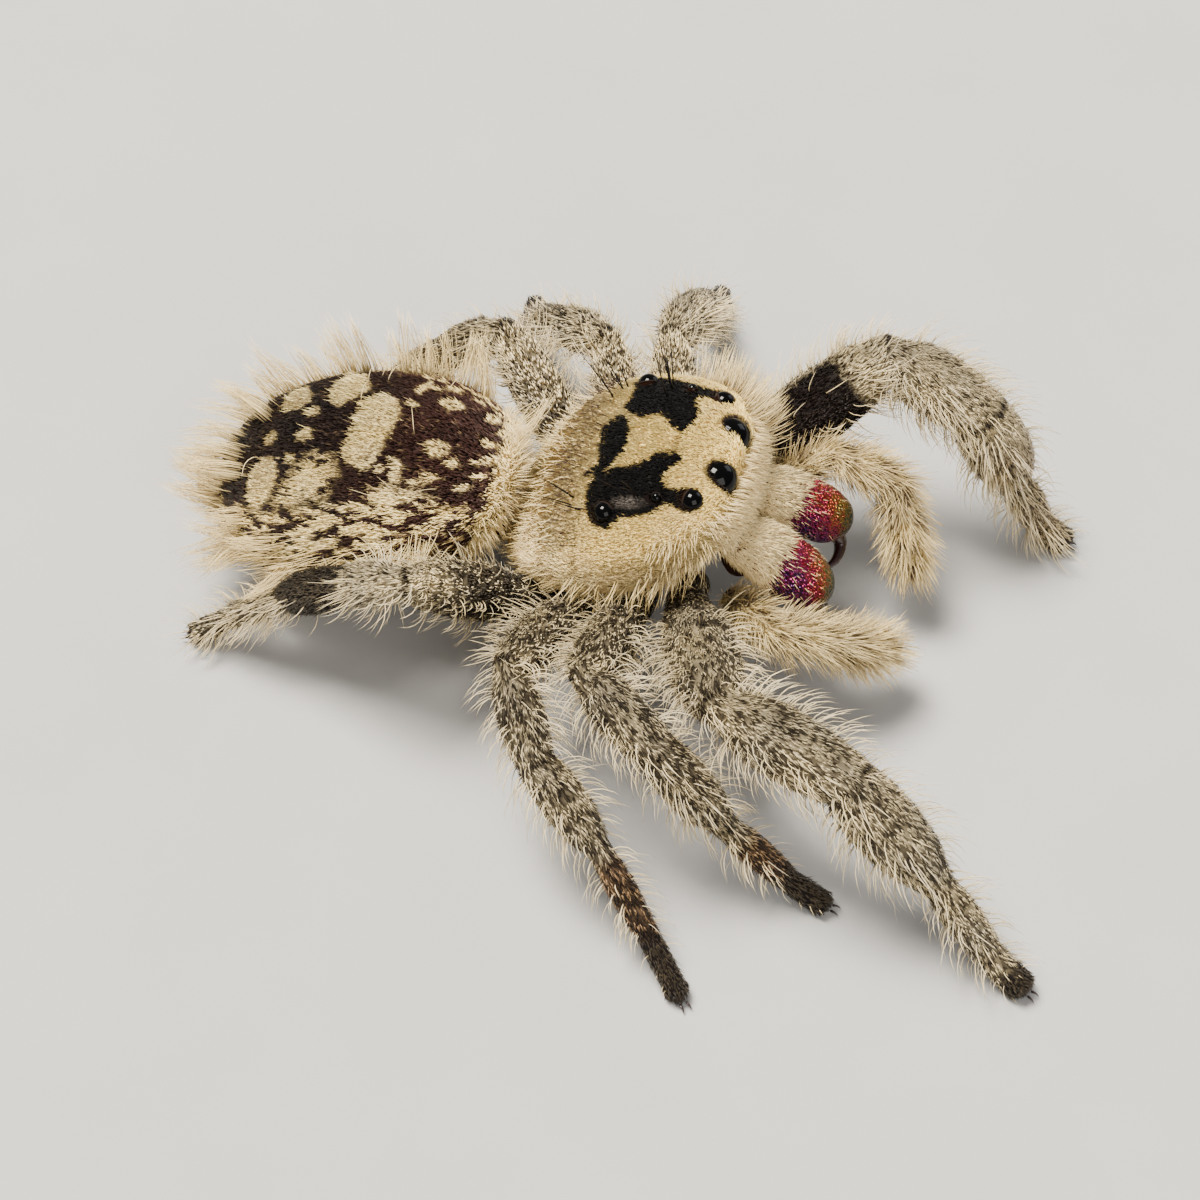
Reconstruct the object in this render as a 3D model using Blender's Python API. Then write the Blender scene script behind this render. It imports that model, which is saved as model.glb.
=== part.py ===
"""Adult female regal jumping spider at life size, standing still with its head raised.

Metres, +X forward along the body, +Y to the spider's left, +Z up, feet on z = 0.
The body is worked out in millimetres and turned into metres where the meshes are made.
"""

import math
import random

import bmesh
import bpy
import numpy as np
from mathutils import Matrix, Vector
from mathutils.bvhtree import BVHTree

MM = 0.001
NAME = "jumping_spider"

# Where the body stands, in millimetres from the middle of the leg span
CENTRE = Vector((0.212, -0.035, 0.0))

# Clearance that each piece keeps from the piece it grows from
GAP = 0.26
EYE_GAP = 0.10

# The head and thorax: a frame at the middle of the rear eyes, turned and pitched up
HEAD_PLACE = Vector((0.51, 0.47, 5.10))
HEAD_TURN = math.radians(-5.5)
HEAD_RAISE = math.radians(18.0)

# Carapace stations from the rear margin to the face:
# distance forward of the rear eyes, half width, top, bottom
CARAPACE = (
    (-3.22, 0.95, -1.80, -2.34),
    (-2.90, 1.55, -1.40, -2.34),
    (-2.20, 2.12, -0.72, -2.32),
    (-1.30, 2.56, -0.02, -2.26),
    (-0.35, 2.72, 0.33, -2.20),
    (0.70, 2.62, 0.40, -2.05),
    (1.50, 2.34, 0.32, -1.80),
    (2.08, 1.92, 0.17, -1.62),
    (2.42, 1.34, -0.02, -1.50),
)
CARAPACE_REAR = -3.36
CARAPACE_FACE = 2.55
CARAPACE_SQUARE_TOP = 2.5
CARAPACE_SQUARE_BOTTOM = 3.4
CARAPACE_WAIST = 0.42

# Eyes: forward, to each side and up from the middle of the rear eyes, and radius
EYES = {
    "front_middle": (2.18, 0.60, -0.38, 0.43),
    "front_side": (1.90, 1.42, -0.14, 0.26),
    "small": (1.16, 1.56, 0.16, 0.10),
    "rear": (0.00, 1.86, 0.00, 0.25),
}

# Sternum, mouthparts and pedicel in the head frame: path points with half width and half height
STERNUM = (
    (-2.95, -2.98, 0.20, 0.22),
    (-2.10, -3.02, 0.52, 0.32),
    (-0.60, -3.04, 0.66, 0.36),
    (0.60, -3.02, 0.56, 0.34),
    (1.05, -3.00, 0.34, 0.26),
)
MOUTHPARTS = (
    (1.36, -3.10, 0.48, 0.30),
    (1.60, -3.22, 0.78, 0.40),
    (1.86, -3.42, 0.72, 0.36),
    (2.06, -3.60, 0.40, 0.20),
)
PEDICEL_START = Vector((-1.72, 0.68, 1.22))
PEDICEL_END = Vector((-2.42, 0.46, 1.62))
PEDICEL_RADIUS = 0.30

# Chelicerae in the head frame, right one negative: forward, to the side, up,
# half width and half depth
CHELICERA = (
    (2.10, 0.74, -2.04, 0.50, 0.40),
    (2.48, 0.76, -2.34, 0.60, 0.60),
    (3.00, 0.84, -2.82, 0.66, 0.72),
    (3.42, 0.92, -3.28, 0.64, 0.68),
    (3.62, 0.97, -3.66, 0.50, 0.48),
)
FANG = (
    (3.56, 1.04, -4.34, 0.15),
    (3.54, 0.76, -4.46, 0.13),
    (3.42, 0.46, -4.46, 0.10),
    (3.24, 0.26, -4.34, 0.05),
)

# Palps in the head frame: base, knee, end of tibia, tip
PALPS = {
    "right": ((1.80, -1.42, -3.36), (2.95, -2.30, -3.34), (4.02, -1.92, -4.20), (5.00, -1.02, -5.66)),
    "left": ((1.80, 1.42, -3.36), (3.30, 2.42, -2.86), (4.72, 2.34, -3.80), (5.02, 1.02, -5.56)),
}

# Abdomen: an egg behind the pedicel
ABDOMEN_FRONT = Vector((-2.05, 0.44, 3.05))
ABDOMEN_TAIL = Vector((-8.90, 0.44, 2.15))
ABDOMEN_HALF_WIDTH = 2.74
ABDOMEN_HALF_HEIGHT = 2.30
ABDOMEN_LIFT = 0.05
ABDOMEN_LEAN = math.radians(24.0)
ABDOMEN_WIDEST = 0.47
ABDOMEN_RINGS = 13
ABDOMEN_SIDES = 22
SPINNERET_RADIUS = 0.17
SPINNERET_LENGTH = 0.50

# Legs. Where each leaves the body along the head frame, then for femur, patella, tibia,
# metatarsus and tarsus: length, compass heading in degrees (left positive) and the height
# above the floor that it ends at.
COXA_OUT = 1.05
TROCHANTER_OUT = 1.86
COXA_UP = -3.06
LEGS = {
    "1_right": (0.95, (4.1, -72, 4.1), (3.0, -20, 3.6), (3.0, -25, 1.8), (2.0, -32, 0.62), (1.1, -28, 0)),
    "2_right": (-0.20, (3.9, -100, 4.0), (2.2, -38, 3.7), (2.5, -14, 1.8), (2.0, -16, 0.62), (1.05, -12, 0)),
    "3_right": (-1.35, (4.1, -109, 3.8), (2.1, -62, 3.0), (2.3, -38, 1.9), (2.2, -44, 0.72), (1.4, -50, 0)),
    "4_right": (-2.5, (4.4, -140, 4.35), (1.7, -191, 3.5), (2.2, -193, 2.1), (2.1, -184, 0.7), (1, -172, 0)),
    "1_left": (0.95, (4.6, 37, 4.6), (2.4, -19, 3.9), (2.3, -12, 1.9), (1.5, -8, 0.62), (0.9, -8, 0)),
    "2_left": (-0.20, (3.3, 103, 3.65), (1.7, 76, 3.0), (2.0, 82, 1.4), (1.5, 88, 0.58), (0.95, 90, 0)),
    "3_left": (-1.35, (3.3, 112, 3.5), (1.6, 150, 2.9), (2.0, 130, 1.4), (1.5, 102, 0.58), (0.95, 96, 0)),
    "4_left": (-2.50, (3.9, 140, 3.95), (1.6, 184, 3.05), (2.2, 190, 1.5), (1.9, 190, 0.62), (1.0, 190, 0)),
}

# Radius of each leg at its stoutest, front pair to rear pair
FEMUR_RADIUS = {"1": 0.80, "2": 0.58, "3": 0.56, "4": 0.60}
TIBIA_RADIUS = {"1": 0.74, "2": 0.56, "3": 0.52, "4": 0.50}
TARSUS_RADIUS = {"1": 0.40, "2": 0.33, "3": 0.31, "4": 0.31}
PALP_RADIUS = 0.36
END_SHARE = 0.56
LEG_TALLER = 1.12
FOOT_RADIUS = 0.20
FOOT_RISE = 0.16
LEG_SIDES = 8

# Locks of long hair: size at the root, how deep the root is sunk, the room they leave to
# other pieces and to the floor, and the shorter lengths tried where there is no room
LOCK_WIDTH = 0.62
LOCK_THICKNESS = 0.46
LOCK_SINK = 0.24
LOCK_ROOM = 0.24
LOCK_SPACING = 0.46
LOCK_FLOOR = 0.22
LOCK_SHORTER = (1.0, 0.75)
LOCK_SEED = 5

# Coat of the limbs: rows along and locks in a row, first and last place along the piece,
# length and how steeply the locks stand
COATS = {
    "femur": (2, 3, 0.42, 0.92, 1.00, 0.80),
    "tibia": (4, 3, 0.08, 0.90, 1.15, 0.95),
    "foot": (2, 2, 0.10, 0.62, 0.80, 0.70),
    "base": (1, 3, 0.45, 0.75, 0.80, 0.90),
    "tip": (3, 3, 0.08, 0.80, 0.90, 0.95),
}
# Abdomen rows from front to tail: share of its length, locks in the row, how far down
# from the top the row starts in degrees, length and how steeply the locks stand
ABDOMEN_COAT = (
    (0.12, 7, 44, 0.95, 0.60),
    (0.30, 8, 64, 1.00, 0.62),
    (0.48, 8, 66, 1.10, 0.72),
    (0.64, 9, 60, 1.20, 0.85),
    (0.78, 10, 42, 1.35, 1.00),
    (0.89, 10, 18, 1.50, 1.10),
    (0.96, 6, 0, 1.55, 1.15),
)
# Carapace rows: distance forward, locks on each side, first and last angle down from the
# top in degrees, length and how steeply the locks stand
CARAPACE_COAT = (
    (-2.70, 3, 25, 95, 0.95, 0.85),
    (-1.80, 3, 44, 115, 1.00, 0.80),
    (-0.85, 4, 50, 122, 1.00, 0.80),
    (0.15, 4, 58, 125, 0.95, 0.85),
    (1.15, 3, 74, 128, 0.90, 0.85),
)
# Bristle tufts on top of the head beside the rear eyes: distance forward, angle down from
# the top in degrees, length
CARAPACE_TUFTS = (
    (0.58, 29, 1.15),
    (-0.66, 33, 1.05),
)
TUFT_SCALE = 0.8


def unit(vector):
    """The vector at length one."""
    return vector.normalized()


def head_axes():
    """Forward, left and up of the head in the body frame."""
    forward = Vector((
        math.cos(HEAD_RAISE) * math.cos(HEAD_TURN),
        math.cos(HEAD_RAISE) * math.sin(HEAD_TURN),
        math.sin(HEAD_RAISE),
    ))
    left = Vector((-math.sin(HEAD_TURN), math.cos(HEAD_TURN), 0.0))
    return forward, left, forward.cross(left)


def head_point(forward, left, up):
    """A point of the head frame in the body frame."""
    axes = head_axes()
    return HEAD_PLACE + axes[0] * forward + axes[1] * left + axes[2] * up


def new_collection(name):
    """A collection in the scene."""
    collection = bpy.data.collections.new(name)
    bpy.context.scene.collection.children.link(collection)
    return collection


def new_material(name, colour, roughness, metallic=0.0):
    """A plain surface finish."""
    material = bpy.data.materials.new(name)
    material.use_nodes = True
    shader = material.node_tree.nodes["Principled BSDF"]
    shader.inputs["Base Color"].default_value = (*colour, 1.0)
    shader.inputs["Roughness"].default_value = roughness
    shader.inputs["Metallic"].default_value = metallic
    return material


def object_from(name, points, faces, collection, material, smooth=True):
    """A closed mesh object from points in millimetres, with its faces pointing out."""
    mesh = bpy.data.meshes.new(name)
    mesh.from_pydata([(Vector(p) - CENTRE) * MM for p in points], [], faces)
    shape = bmesh.new()
    shape.from_mesh(mesh)
    bmesh.ops.recalc_face_normals(shape, faces=shape.faces)
    shape.to_mesh(mesh)
    shape.free()
    if smooth:
        mesh.shade_smooth()
    if material:
        mesh.materials.append(material)
    thing = bpy.data.objects.new(name, mesh)
    collection.objects.link(thing)
    return thing


def loft(rings, start=None, end=None):
    """Points and faces of a closed skin over rings of equal count.

    An end is a flat cap, or a fan to a pole where a point is given.
    """
    count = len(rings[0])
    points = [p for ring in rings for p in ring]
    faces = []
    for row in range(len(rings) - 1):
        for k in range(count):
            step = (k + 1) % count
            low = row * count
            faces.append((low + k, low + step, low + count + step, low + count + k))
    last = (len(rings) - 1) * count
    if start is None:
        faces.append(tuple(range(count)))
    else:
        points.append(start)
        faces += [(len(points) - 1, (k + 1) % count, k) for k in range(count)]
    if end is None:
        faces.append(tuple(last + k for k in range(count)))
    else:
        points.append(end)
        faces += [(len(points) - 1, last + k, last + (k + 1) % count) for k in range(count)]
    return points, faces


def ellipse(centre, side, up, half_width, half_height, count):
    """A ring of points about a centre."""
    ring = []
    for k in range(count):
        angle = 2.0 * math.pi * (k + 0.5) / count
        ring.append(centre + side * (half_width * math.cos(angle)) + up * (half_height * math.sin(angle)))
    return ring


def sweep(stations, count, taller=1.0, foot=False):
    """Rings along a path of (point, radius) stations, square to the path.

    With a foot the last ring lies flat on the floor.
    """
    rings = []
    for k, (point, radius) in enumerate(stations):
        before = stations[max(k - 1, 0)][0]
        after = stations[min(k + 1, len(stations) - 1)][0]
        along = unit(after - before)
        side = unit(along.cross(Vector((0.0, 0.0, 1.0))))
        up = side.cross(along)
        if foot and k == len(stations) - 1:
            up = Vector((-side.y, side.x, 0.0))
        rings.append(ellipse(point, side, up, radius, radius * taller, count))
    return rings


def superellipse(angle, power):
    """Cosine and sine of an angle on a squared-off circle."""
    cosine, sine = math.cos(angle), math.sin(angle)
    return (
        math.copysign(abs(cosine) ** (2.0 / power), cosine),
        math.copysign(abs(sine) ** (2.0 / power), sine),
    )


def carapace_ring(station, count):
    """One cross section of the carapace: a squared dome over a flatter underside."""
    along, half_width, top, bottom = station
    waist = bottom + (top - bottom) * CARAPACE_WAIST
    ring = []
    for k in range(count):
        angle = 2.0 * math.pi * (k + 0.5) / count
        power = CARAPACE_SQUARE_TOP if math.sin(angle) > 0 else CARAPACE_SQUARE_BOTTOM
        across, rise = superellipse(angle, power)
        reach = top - waist if rise > 0 else waist - bottom
        ring.append(head_point(along, half_width * across, waist + reach * rise))
    return ring


def carapace_station(along):
    """The carapace section at a distance forward of the rear eyes."""
    for before, after in zip(CARAPACE, CARAPACE[1:]):
        if along <= after[0]:
            share = (along - before[0]) / (after[0] - before[0])
            return tuple(a + (b - a) * share for a, b in zip(before, after))
    return CARAPACE[-1]


def carapace_point(along, angle):
    """A point of the carapace at an angle down from the top, to the left where positive."""
    along, half_width, top, bottom = carapace_station(along)
    waist = bottom + (top - bottom) * CARAPACE_WAIST
    turn = math.pi / 2 - angle
    power = CARAPACE_SQUARE_TOP if math.sin(turn) > 0 else CARAPACE_SQUARE_BOTTOM
    across, rise = superellipse(turn, power)
    reach = top - waist if rise > 0 else waist - bottom
    return head_point(along, half_width * across, waist + reach * rise)


def make_carapace(collection, material):
    """The shield over head and thorax."""
    sides = 20
    rings = [carapace_ring(station, sides) for station in CARAPACE]
    first, last = CARAPACE[0], CARAPACE[-1]
    rear = head_point(CARAPACE_REAR, 0.0, (first[2] + first[3]) / 2)
    face = head_point(CARAPACE_FACE, 0.0, (last[2] + last[3]) / 2)
    points, faces = loft(rings, rear, face)
    return object_from("carapace", points, faces, collection, material)


def make_ball(name, centre, radius, collection, material, segments=12, rows=8):
    """A sphere of the given radius in millimetres."""
    shape = bmesh.new()
    bmesh.ops.create_uvsphere(shape, u_segments=segments, v_segments=rows, radius=radius * MM)
    forward = head_axes()[0]
    turn = forward.to_track_quat("Z", "Y").to_matrix().to_4x4()
    shape.transform(Matrix.Translation((centre - CENTRE) * MM) @ turn)
    mesh = bpy.data.meshes.new(name)
    shape.to_mesh(mesh)
    shape.free()
    mesh.shade_smooth()
    if material:
        mesh.materials.append(material)
    ball = bpy.data.objects.new(name, mesh)
    collection.objects.link(ball)
    return ball


def make_eyes(collection, cutters, material):
    """Eight eyes and the cutters for their sockets."""
    for name, (forward, out, up, radius) in EYES.items():
        for side, sign in (("right", -1), ("left", 1)):
            centre = head_point(forward, sign * out, up)
            segments, rows = (12, 8) if radius > 0.4 else (8, 6)
            make_ball(f"eye_{name}_{side}", centre, radius, collection, material, segments, rows)
            socket = make_ball(
                f"socket_{name}_{side}", centre, radius + EYE_GAP, cutters, None, segments, rows)
            socket.hide_render = True
            socket.display_type = "WIRE"


def cut_sockets(carapace, cutters):
    """Sink the eye sockets into the carapace."""
    cut = carapace.modifiers.new("sockets", "BOOLEAN")
    cut.operation = "DIFFERENCE"
    cut.operand_type = "COLLECTION"
    cut.collection = cutters


def make_keel(name, stations, collection, material, sides=12):
    """A low body along the head's midline, such as the sternum."""
    forward, left, up = head_axes()
    rings = []
    for along, height, half_width, half_height in stations:
        rings.append(ellipse(head_point(along, 0.0, height), left, up, half_width, half_height, sides))
    points, faces = loft(rings)
    return object_from(name, points, faces, collection, material)


def make_chelicera(side, sign, collection, material):
    """The stout jaw base below the face."""
    forward, left, up = head_axes()
    rings = []
    for k, (along, out, height, half_width, half_depth) in enumerate(CHELICERA):
        before = CHELICERA[max(k - 1, 0)]
        after = CHELICERA[min(k + 1, len(CHELICERA) - 1)]
        down = unit(forward * (after[0] - before[0]) + up * (after[2] - before[2]))
        front = down.cross(left)
        centre = head_point(along, sign * out, height)
        rings.append(ellipse(centre, left, front, half_width, half_depth, 14))
    along, out, height = CHELICERA[-1][:3]
    end = head_point(along + 0.06, sign * out, height - 0.24)
    points, faces = loft(rings, None, end)
    return object_from(f"chelicera_{side}", points, faces, collection, material)


def make_fang(side, sign, collection, material):
    """The fang, folded in under the jaw base."""
    stations = [(head_point(a, sign * o, h), r) for a, o, h, r in FANG]
    points, faces = loft(sweep(stations, 8))
    return object_from(f"fang_{side}", points, faces, collection, material)


def egg(share):
    """Width of the abdomen at a share of its length, from 0 at either end to 1."""
    bent = share ** (math.log(0.5) / math.log(ABDOMEN_WIDEST))
    return (4.0 * bent * (1.0 - bent)) ** 0.47


def abdomen_ring(share, count):
    """One cross section of the abdomen."""
    axis = ABDOMEN_FRONT.lerp(ABDOMEN_TAIL, share)
    size = egg(share)
    centre = axis + Vector((0.0, 0.0, ABDOMEN_LIFT * size))
    lean = ABDOMEN_LEAN * (1.0 - share) ** 2
    side = Vector((0.0, 1.0, 0.0))
    up = Vector((math.sin(lean), 0.0, math.cos(lean)))
    return ellipse(centre, side, up, ABDOMEN_HALF_WIDTH * size, ABDOMEN_HALF_HEIGHT * size, count)


def make_abdomen(collection, material):
    """The egg-shaped abdomen."""
    rings = []
    for k in range(ABDOMEN_RINGS):
        share = 0.5 - 0.5 * math.cos(math.pi * (k + 0.6) / (ABDOMEN_RINGS + 0.2))
        rings.append(abdomen_ring(share, ABDOMEN_SIDES))
    points, faces = loft(rings, ABDOMEN_FRONT, ABDOMEN_TAIL)
    return object_from("abdomen", points, faces, collection, material)


def make_pedicel(collection, material):
    """The narrow waist between thorax and abdomen."""
    stations = between(PEDICEL_START, PEDICEL_END, ((0.0, 1.0), (0.5, 0.85), (1.0, 1.0)), PEDICEL_RADIUS)
    points, faces = loft(sweep(stations, 10))
    return object_from("pedicel", points, faces, collection, material)


def make_spinnerets(collection, material):
    """The spinnerets in one short blunt bunch at the tail."""
    start = ABDOMEN_TAIL + Vector((-GAP * 0.9, 0.0, -0.10))
    end = start + Vector((-SPINNERET_LENGTH, 0.0, -0.16))
    stations = [
        (start.lerp(end, t), SPINNERET_RADIUS * r)
        for t, r in ((0.0, 1.5), (0.35, 1.7), (0.75, 1.25), (1.0, 0.6))
    ]
    points, faces = loft(sweep(stations, 8))
    return object_from("spinnerets", points, faces, collection, material)


def leg_joints(name):
    """Coxa, trochanter and the five joint ends of a leg."""
    station, *segments = LEGS[name]
    sign = -1 if name.endswith("right") else 1
    joints = [
        head_point(station, sign * COXA_OUT, COXA_UP),
        head_point(station, sign * TROCHANTER_OUT, COXA_UP),
    ]
    for length, heading, height in segments:
        start = joints[-1]
        drop = height - start.z
        reach = math.sqrt(max(length * length - drop * drop, 0.01))
        turn = math.radians(heading)
        joints.append(Vector((start.x + reach * math.cos(turn), start.y + reach * math.sin(turn), height)))
    return joints


def between(start, end, shares, radius):
    """Stations of a segment: shares are (place along it, radius factor) pairs."""
    return [(start.lerp(end, t), radius * r) for t, r in shares]


def joint_cut(before, joint, after, radius):
    """How far two segments stop short of their joint so that their ends clear each other."""
    bend = unit(joint - before).angle(unit(after - joint))
    return GAP / 2 + 0.75 * radius * math.tan(bend / 2)


def trimmed(start, end, cut_start, cut_end):
    """A segment's two ends drawn in from its joints."""
    along = unit(end - start)
    return start + along * cut_start, end - along * cut_end


def make_leg(name, collection, material):
    """A leg in three nodes: femur with coxa, patella with tibia, and the foot."""
    pair = name[0]
    coxa, trochanter, knee, patella, ankle, mid_foot, toe = leg_joints(name)
    thigh = FEMUR_RADIUS[pair]
    shin = TIBIA_RADIUS[pair]
    foot = TARSUS_RADIUS[pair]

    knee_cut = joint_cut(trochanter, knee, patella, END_SHARE * thigh)
    ankle_cut = joint_cut(patella, ankle, mid_foot, END_SHARE * shin)

    femur_end = trimmed(trochanter, knee, 0.0, knee_cut)[1]
    femur = [(coxa, 0.40), (coxa.lerp(trochanter, 0.75), 0.42)]
    swell = ((0.16, 0.74), (0.42, 1.0), (0.72, 0.96), (0.93, 0.76), (1.0, END_SHARE))
    femur += between(trochanter, femur_end, swell, thigh)
    points, faces = loft(sweep(femur, LEG_SIDES, LEG_TALLER))
    upper = object_from(f"leg_{name}_femur", points, faces, collection, material)

    start = trimmed(knee, patella, knee_cut, 0.0)[0]
    end = trimmed(patella, ankle, 0.0, ankle_cut)[1]
    tibia = between(start, patella, ((0.0, 0.62), (0.16, 0.86), (0.5, 1.0), (0.84, 0.92)), shin)
    tibia += between(patella, end, ((0.14, 0.90), (0.45, 0.98), (0.8, 0.80), (1.0, END_SHARE)), shin)
    points, faces = loft(sweep(tibia, LEG_SIDES, LEG_TALLER))
    middle = object_from(f"leg_{name}_tibia", points, faces, collection, material)

    start = trimmed(ankle, mid_foot, ankle_cut, 0.0)[0]
    above = Vector((toe.x, toe.y, FOOT_RISE))
    tarsus = between(start, mid_foot, ((0.0, 0.92), (0.25, 1.05), (0.7, 0.95)), foot)
    tarsus += between(mid_foot, above, ((0.10, 0.84), (0.62, 0.84)), foot)
    tarsus += [(toe, FOOT_RADIUS)]
    points, faces = loft(sweep(tarsus, LEG_SIDES, 1.0, foot=True))
    lower = object_from(f"leg_{name}_foot", points, faces, collection, material)
    return [(upper, femur, "femur"), (middle, tibia, "tibia"), (lower, tarsus, "foot")]


def make_palp(side, collection, material):
    """A palp in two nodes: its base to the knee, and the rest to the tip."""
    base, knee, tibia, tip = (head_point(*place) for place in PALPS[side])
    knee_cut = joint_cut(base, knee, tibia, END_SHARE * PALP_RADIUS)
    end = trimmed(base, knee, 0.0, knee_cut)[1]
    inner = between(base, end, ((0.0, 0.75), (0.3, 0.9), (0.75, 0.95), (1.0, 0.66)), PALP_RADIUS)
    points, faces = loft(sweep(inner, LEG_SIDES, LEG_TALLER))
    upper = object_from(f"palp_{side}_base", points, faces, collection, material)

    start = trimmed(knee, tibia, knee_cut, 0.0)[0]
    outer = between(start, tibia, ((0.0, 0.70), (0.3, 1.0), (0.85, 0.96)), PALP_RADIUS)
    outer += between(tibia, tip, ((0.18, 1.04), (0.55, 1.16), (0.86, 0.88), (1.0, 0.45)), PALP_RADIUS)
    points, faces = loft(sweep(outer, LEG_SIDES, LEG_TALLER))
    lower = object_from(f"palp_{side}_tip", points, faces, collection, material)
    return [(upper, inner, "base"), (lower, outer, "tip")]


def surface_root(point, round_point, along_point):
    """A root on a surface from a point and its neighbours round and along it."""
    lie = unit(along_point - point)
    normal = unit((round_point - point).cross(lie))
    return point - normal * 0.03, normal, lie


def carapace_roots(rng):
    """Places for locks on the sides and rear of the carapace, with length and steepness."""
    roots = []
    for along, count, first, last, length, steep in CARAPACE_COAT:
        for sign in (-1, 1):
            for k in range(count):
                angle = math.radians(first + (last - first) * (k + rng.uniform(0.1, 0.9)) / count)
                place = along + rng.uniform(-0.15, 0.15)
                point = carapace_point(place, sign * angle)
                lower = carapace_point(place, sign * angle + 0.02)
                behind = carapace_point(place - 0.05, sign * angle + sign * 0.012)
                roots.append((*surface_root(point, lower, behind), length, steep))
    return roots


def tuft_roots():
    """Places for the tufts that stand on top of the head."""
    roots = []
    for along, turn, length in CARAPACE_TUFTS:
        for sign in (-1, 1):
            angle = math.radians(sign * turn)
            point = carapace_point(along, angle)
            lower = carapace_point(along, angle + 0.02)
            behind = carapace_point(along - 0.05, angle)
            root, normal, back = surface_root(point, lower, behind)
            roots.append((root, normal, unit(normal + back * 0.35), length, 0.25))
    return roots


def abdomen_point(share, angle):
    """A point of the abdomen at an angle down from the top, to the left where positive."""
    axis = ABDOMEN_FRONT.lerp(ABDOMEN_TAIL, share)
    size = egg(share)
    lean = ABDOMEN_LEAN * (1.0 - share) ** 2
    up = Vector((math.sin(lean), 0.0, math.cos(lean)))
    lift = Vector((0.0, ABDOMEN_HALF_WIDTH * size * math.sin(angle), ABDOMEN_LIFT * size))
    return axis + lift + up * (ABDOMEN_HALF_HEIGHT * size * math.cos(angle))


def abdomen_roots(rng):
    """Places for locks on the sides and tail of the abdomen, with length and steepness."""
    roots = []
    for row, (share, count, first, length, steep) in enumerate(ABDOMEN_COAT):
        span = 360.0 - 2.0 * first
        for k in range(count):
            turn = first + span * (k + 0.3 + 0.4 * (row % 2) + rng.uniform(-0.15, 0.15)) / count
            angle = math.radians(turn)
            place = share + rng.uniform(-0.02, 0.02)
            point = abdomen_point(place, angle)
            beside = abdomen_point(place, angle + 0.02)
            behind = abdomen_point(min(place + 0.01, 0.999), angle)
            roots.append((*surface_root(point, beside, behind), length, steep))
    return roots


def on_path(stations, share):
    """Point, radius and direction at a share of a path's length."""
    steps = [(b[0] - a[0]).length for a, b in zip(stations, stations[1:])]
    left = share * sum(steps)
    spot = 0
    while left > steps[spot] and spot < len(steps) - 1:
        left -= steps[spot]
        spot += 1
    start, end = stations[spot], stations[spot + 1]
    part = left / steps[spot]
    radius = start[1] + (end[1] - start[1]) * part
    return start[0].lerp(end[0], part), radius, unit(end[0] - start[0])


def limb_roots(stations, kind, rng):
    """Places for locks round a limb, with length and steepness."""
    rows, count, first, last, length, steep = COATS[kind]
    roots = []
    for row in range(rows):
        for k in range(count):
            share = first + (last - first) * (row + rng.uniform(0.15, 0.85)) / rows
            angle = 2.0 * math.pi * (k + 0.5 * (row % 2) + rng.uniform(-0.15, 0.15)) / count
            point, radius, along = on_path(stations, share)
            side = unit(along.cross(Vector((0.0, 0.0, 1.0))))
            up = side.cross(along)
            normal = side * math.cos(angle) + up * math.sin(angle)
            roots.append((point + normal * (radius * 0.92), normal, along, length, steep))
    return roots


def lock_rings(root, normal, lie, length, steep, scale):
    """Three rings and the tip of a lock that rises from its root and bends to the lie."""
    across = unit(normal.cross(lie))
    path = (
        root - normal * (LOCK_SINK * scale),
        root + normal * (0.26 * steep * length) + lie * (0.20 * length),
        root + normal * (0.44 * steep * length) + lie * (0.58 * length),
    )
    tip = root + normal * (0.50 * steep * length) + lie * length
    rings = []
    for k, (width, depth) in enumerate(((1.0, 1.0), (1.0, 0.92), (0.72, 0.66))):
        after = path[k + 1] if k < 2 else tip
        along = unit(after - path[max(k - 1, 0)])
        rise = unit(across.cross(along))
        wide = across * (0.5 * LOCK_WIDTH * width * scale)
        deep = rise * (0.5 * LOCK_THICKNESS * depth * scale)
        rings.append([path[k] + wide, path[k] + deep, path[k] - wide, path[k] - deep])
    return rings, tip


def has_room(rings, tip, name, trees, taken):
    """Whether a lock keeps clear of the floor, the other pieces and their locks."""
    ends = rings + [[tip] * 4]
    points = [p for ring in ends for p in ring]
    for near, far in zip(ends, ends[1:]):
        points += [a.lerp(b, 0.5) for a, b in zip(near, far)]
    if min(p.z for p in points) < LOCK_FLOOR:
        return False
    for other, tree in trees.items():
        if other != name:
            if any(tree.find_nearest(p, LOCK_ROOM)[0] is not None for p in points):
                return False
    others = [p for owner, spots in taken.items() if owner != name for p in spots]
    if others:
        gaps = np.array(points)[:, None, :] - np.array(others)[None, :, :]
        if np.min(np.sum(gaps * gaps, axis=2)) < LOCK_SPACING ** 2:
            return False
    taken.setdefault(name, []).extend(points)
    return True


def largest_shell(mesh):
    """Keep only the closed surface with the most volume."""
    shape = bmesh.new()
    shape.from_mesh(mesh)
    bmesh.ops.dissolve_degenerate(shape, dist=2e-6, edges=shape.edges)
    left = set(shape.faces)
    shells = []
    while left:
        shell = set()
        edge = [next(iter(left))]
        while edge:
            face = edge.pop()
            if face in shell:
                continue
            shell.add(face)
            edge += [f for e in face.edges if len(e.link_faces) == 2 for f in e.link_faces if f not in shell]
        left -= shell
        shells.append(shell)
    keep = max(shells, key=lambda shell: sum(face.calc_area() for face in shell))
    drop = [face for face in shape.faces if face not in keep]
    bmesh.ops.delete(shape, geom=drop, context="FACES")
    shape.to_mesh(mesh)
    shape.free()


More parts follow.
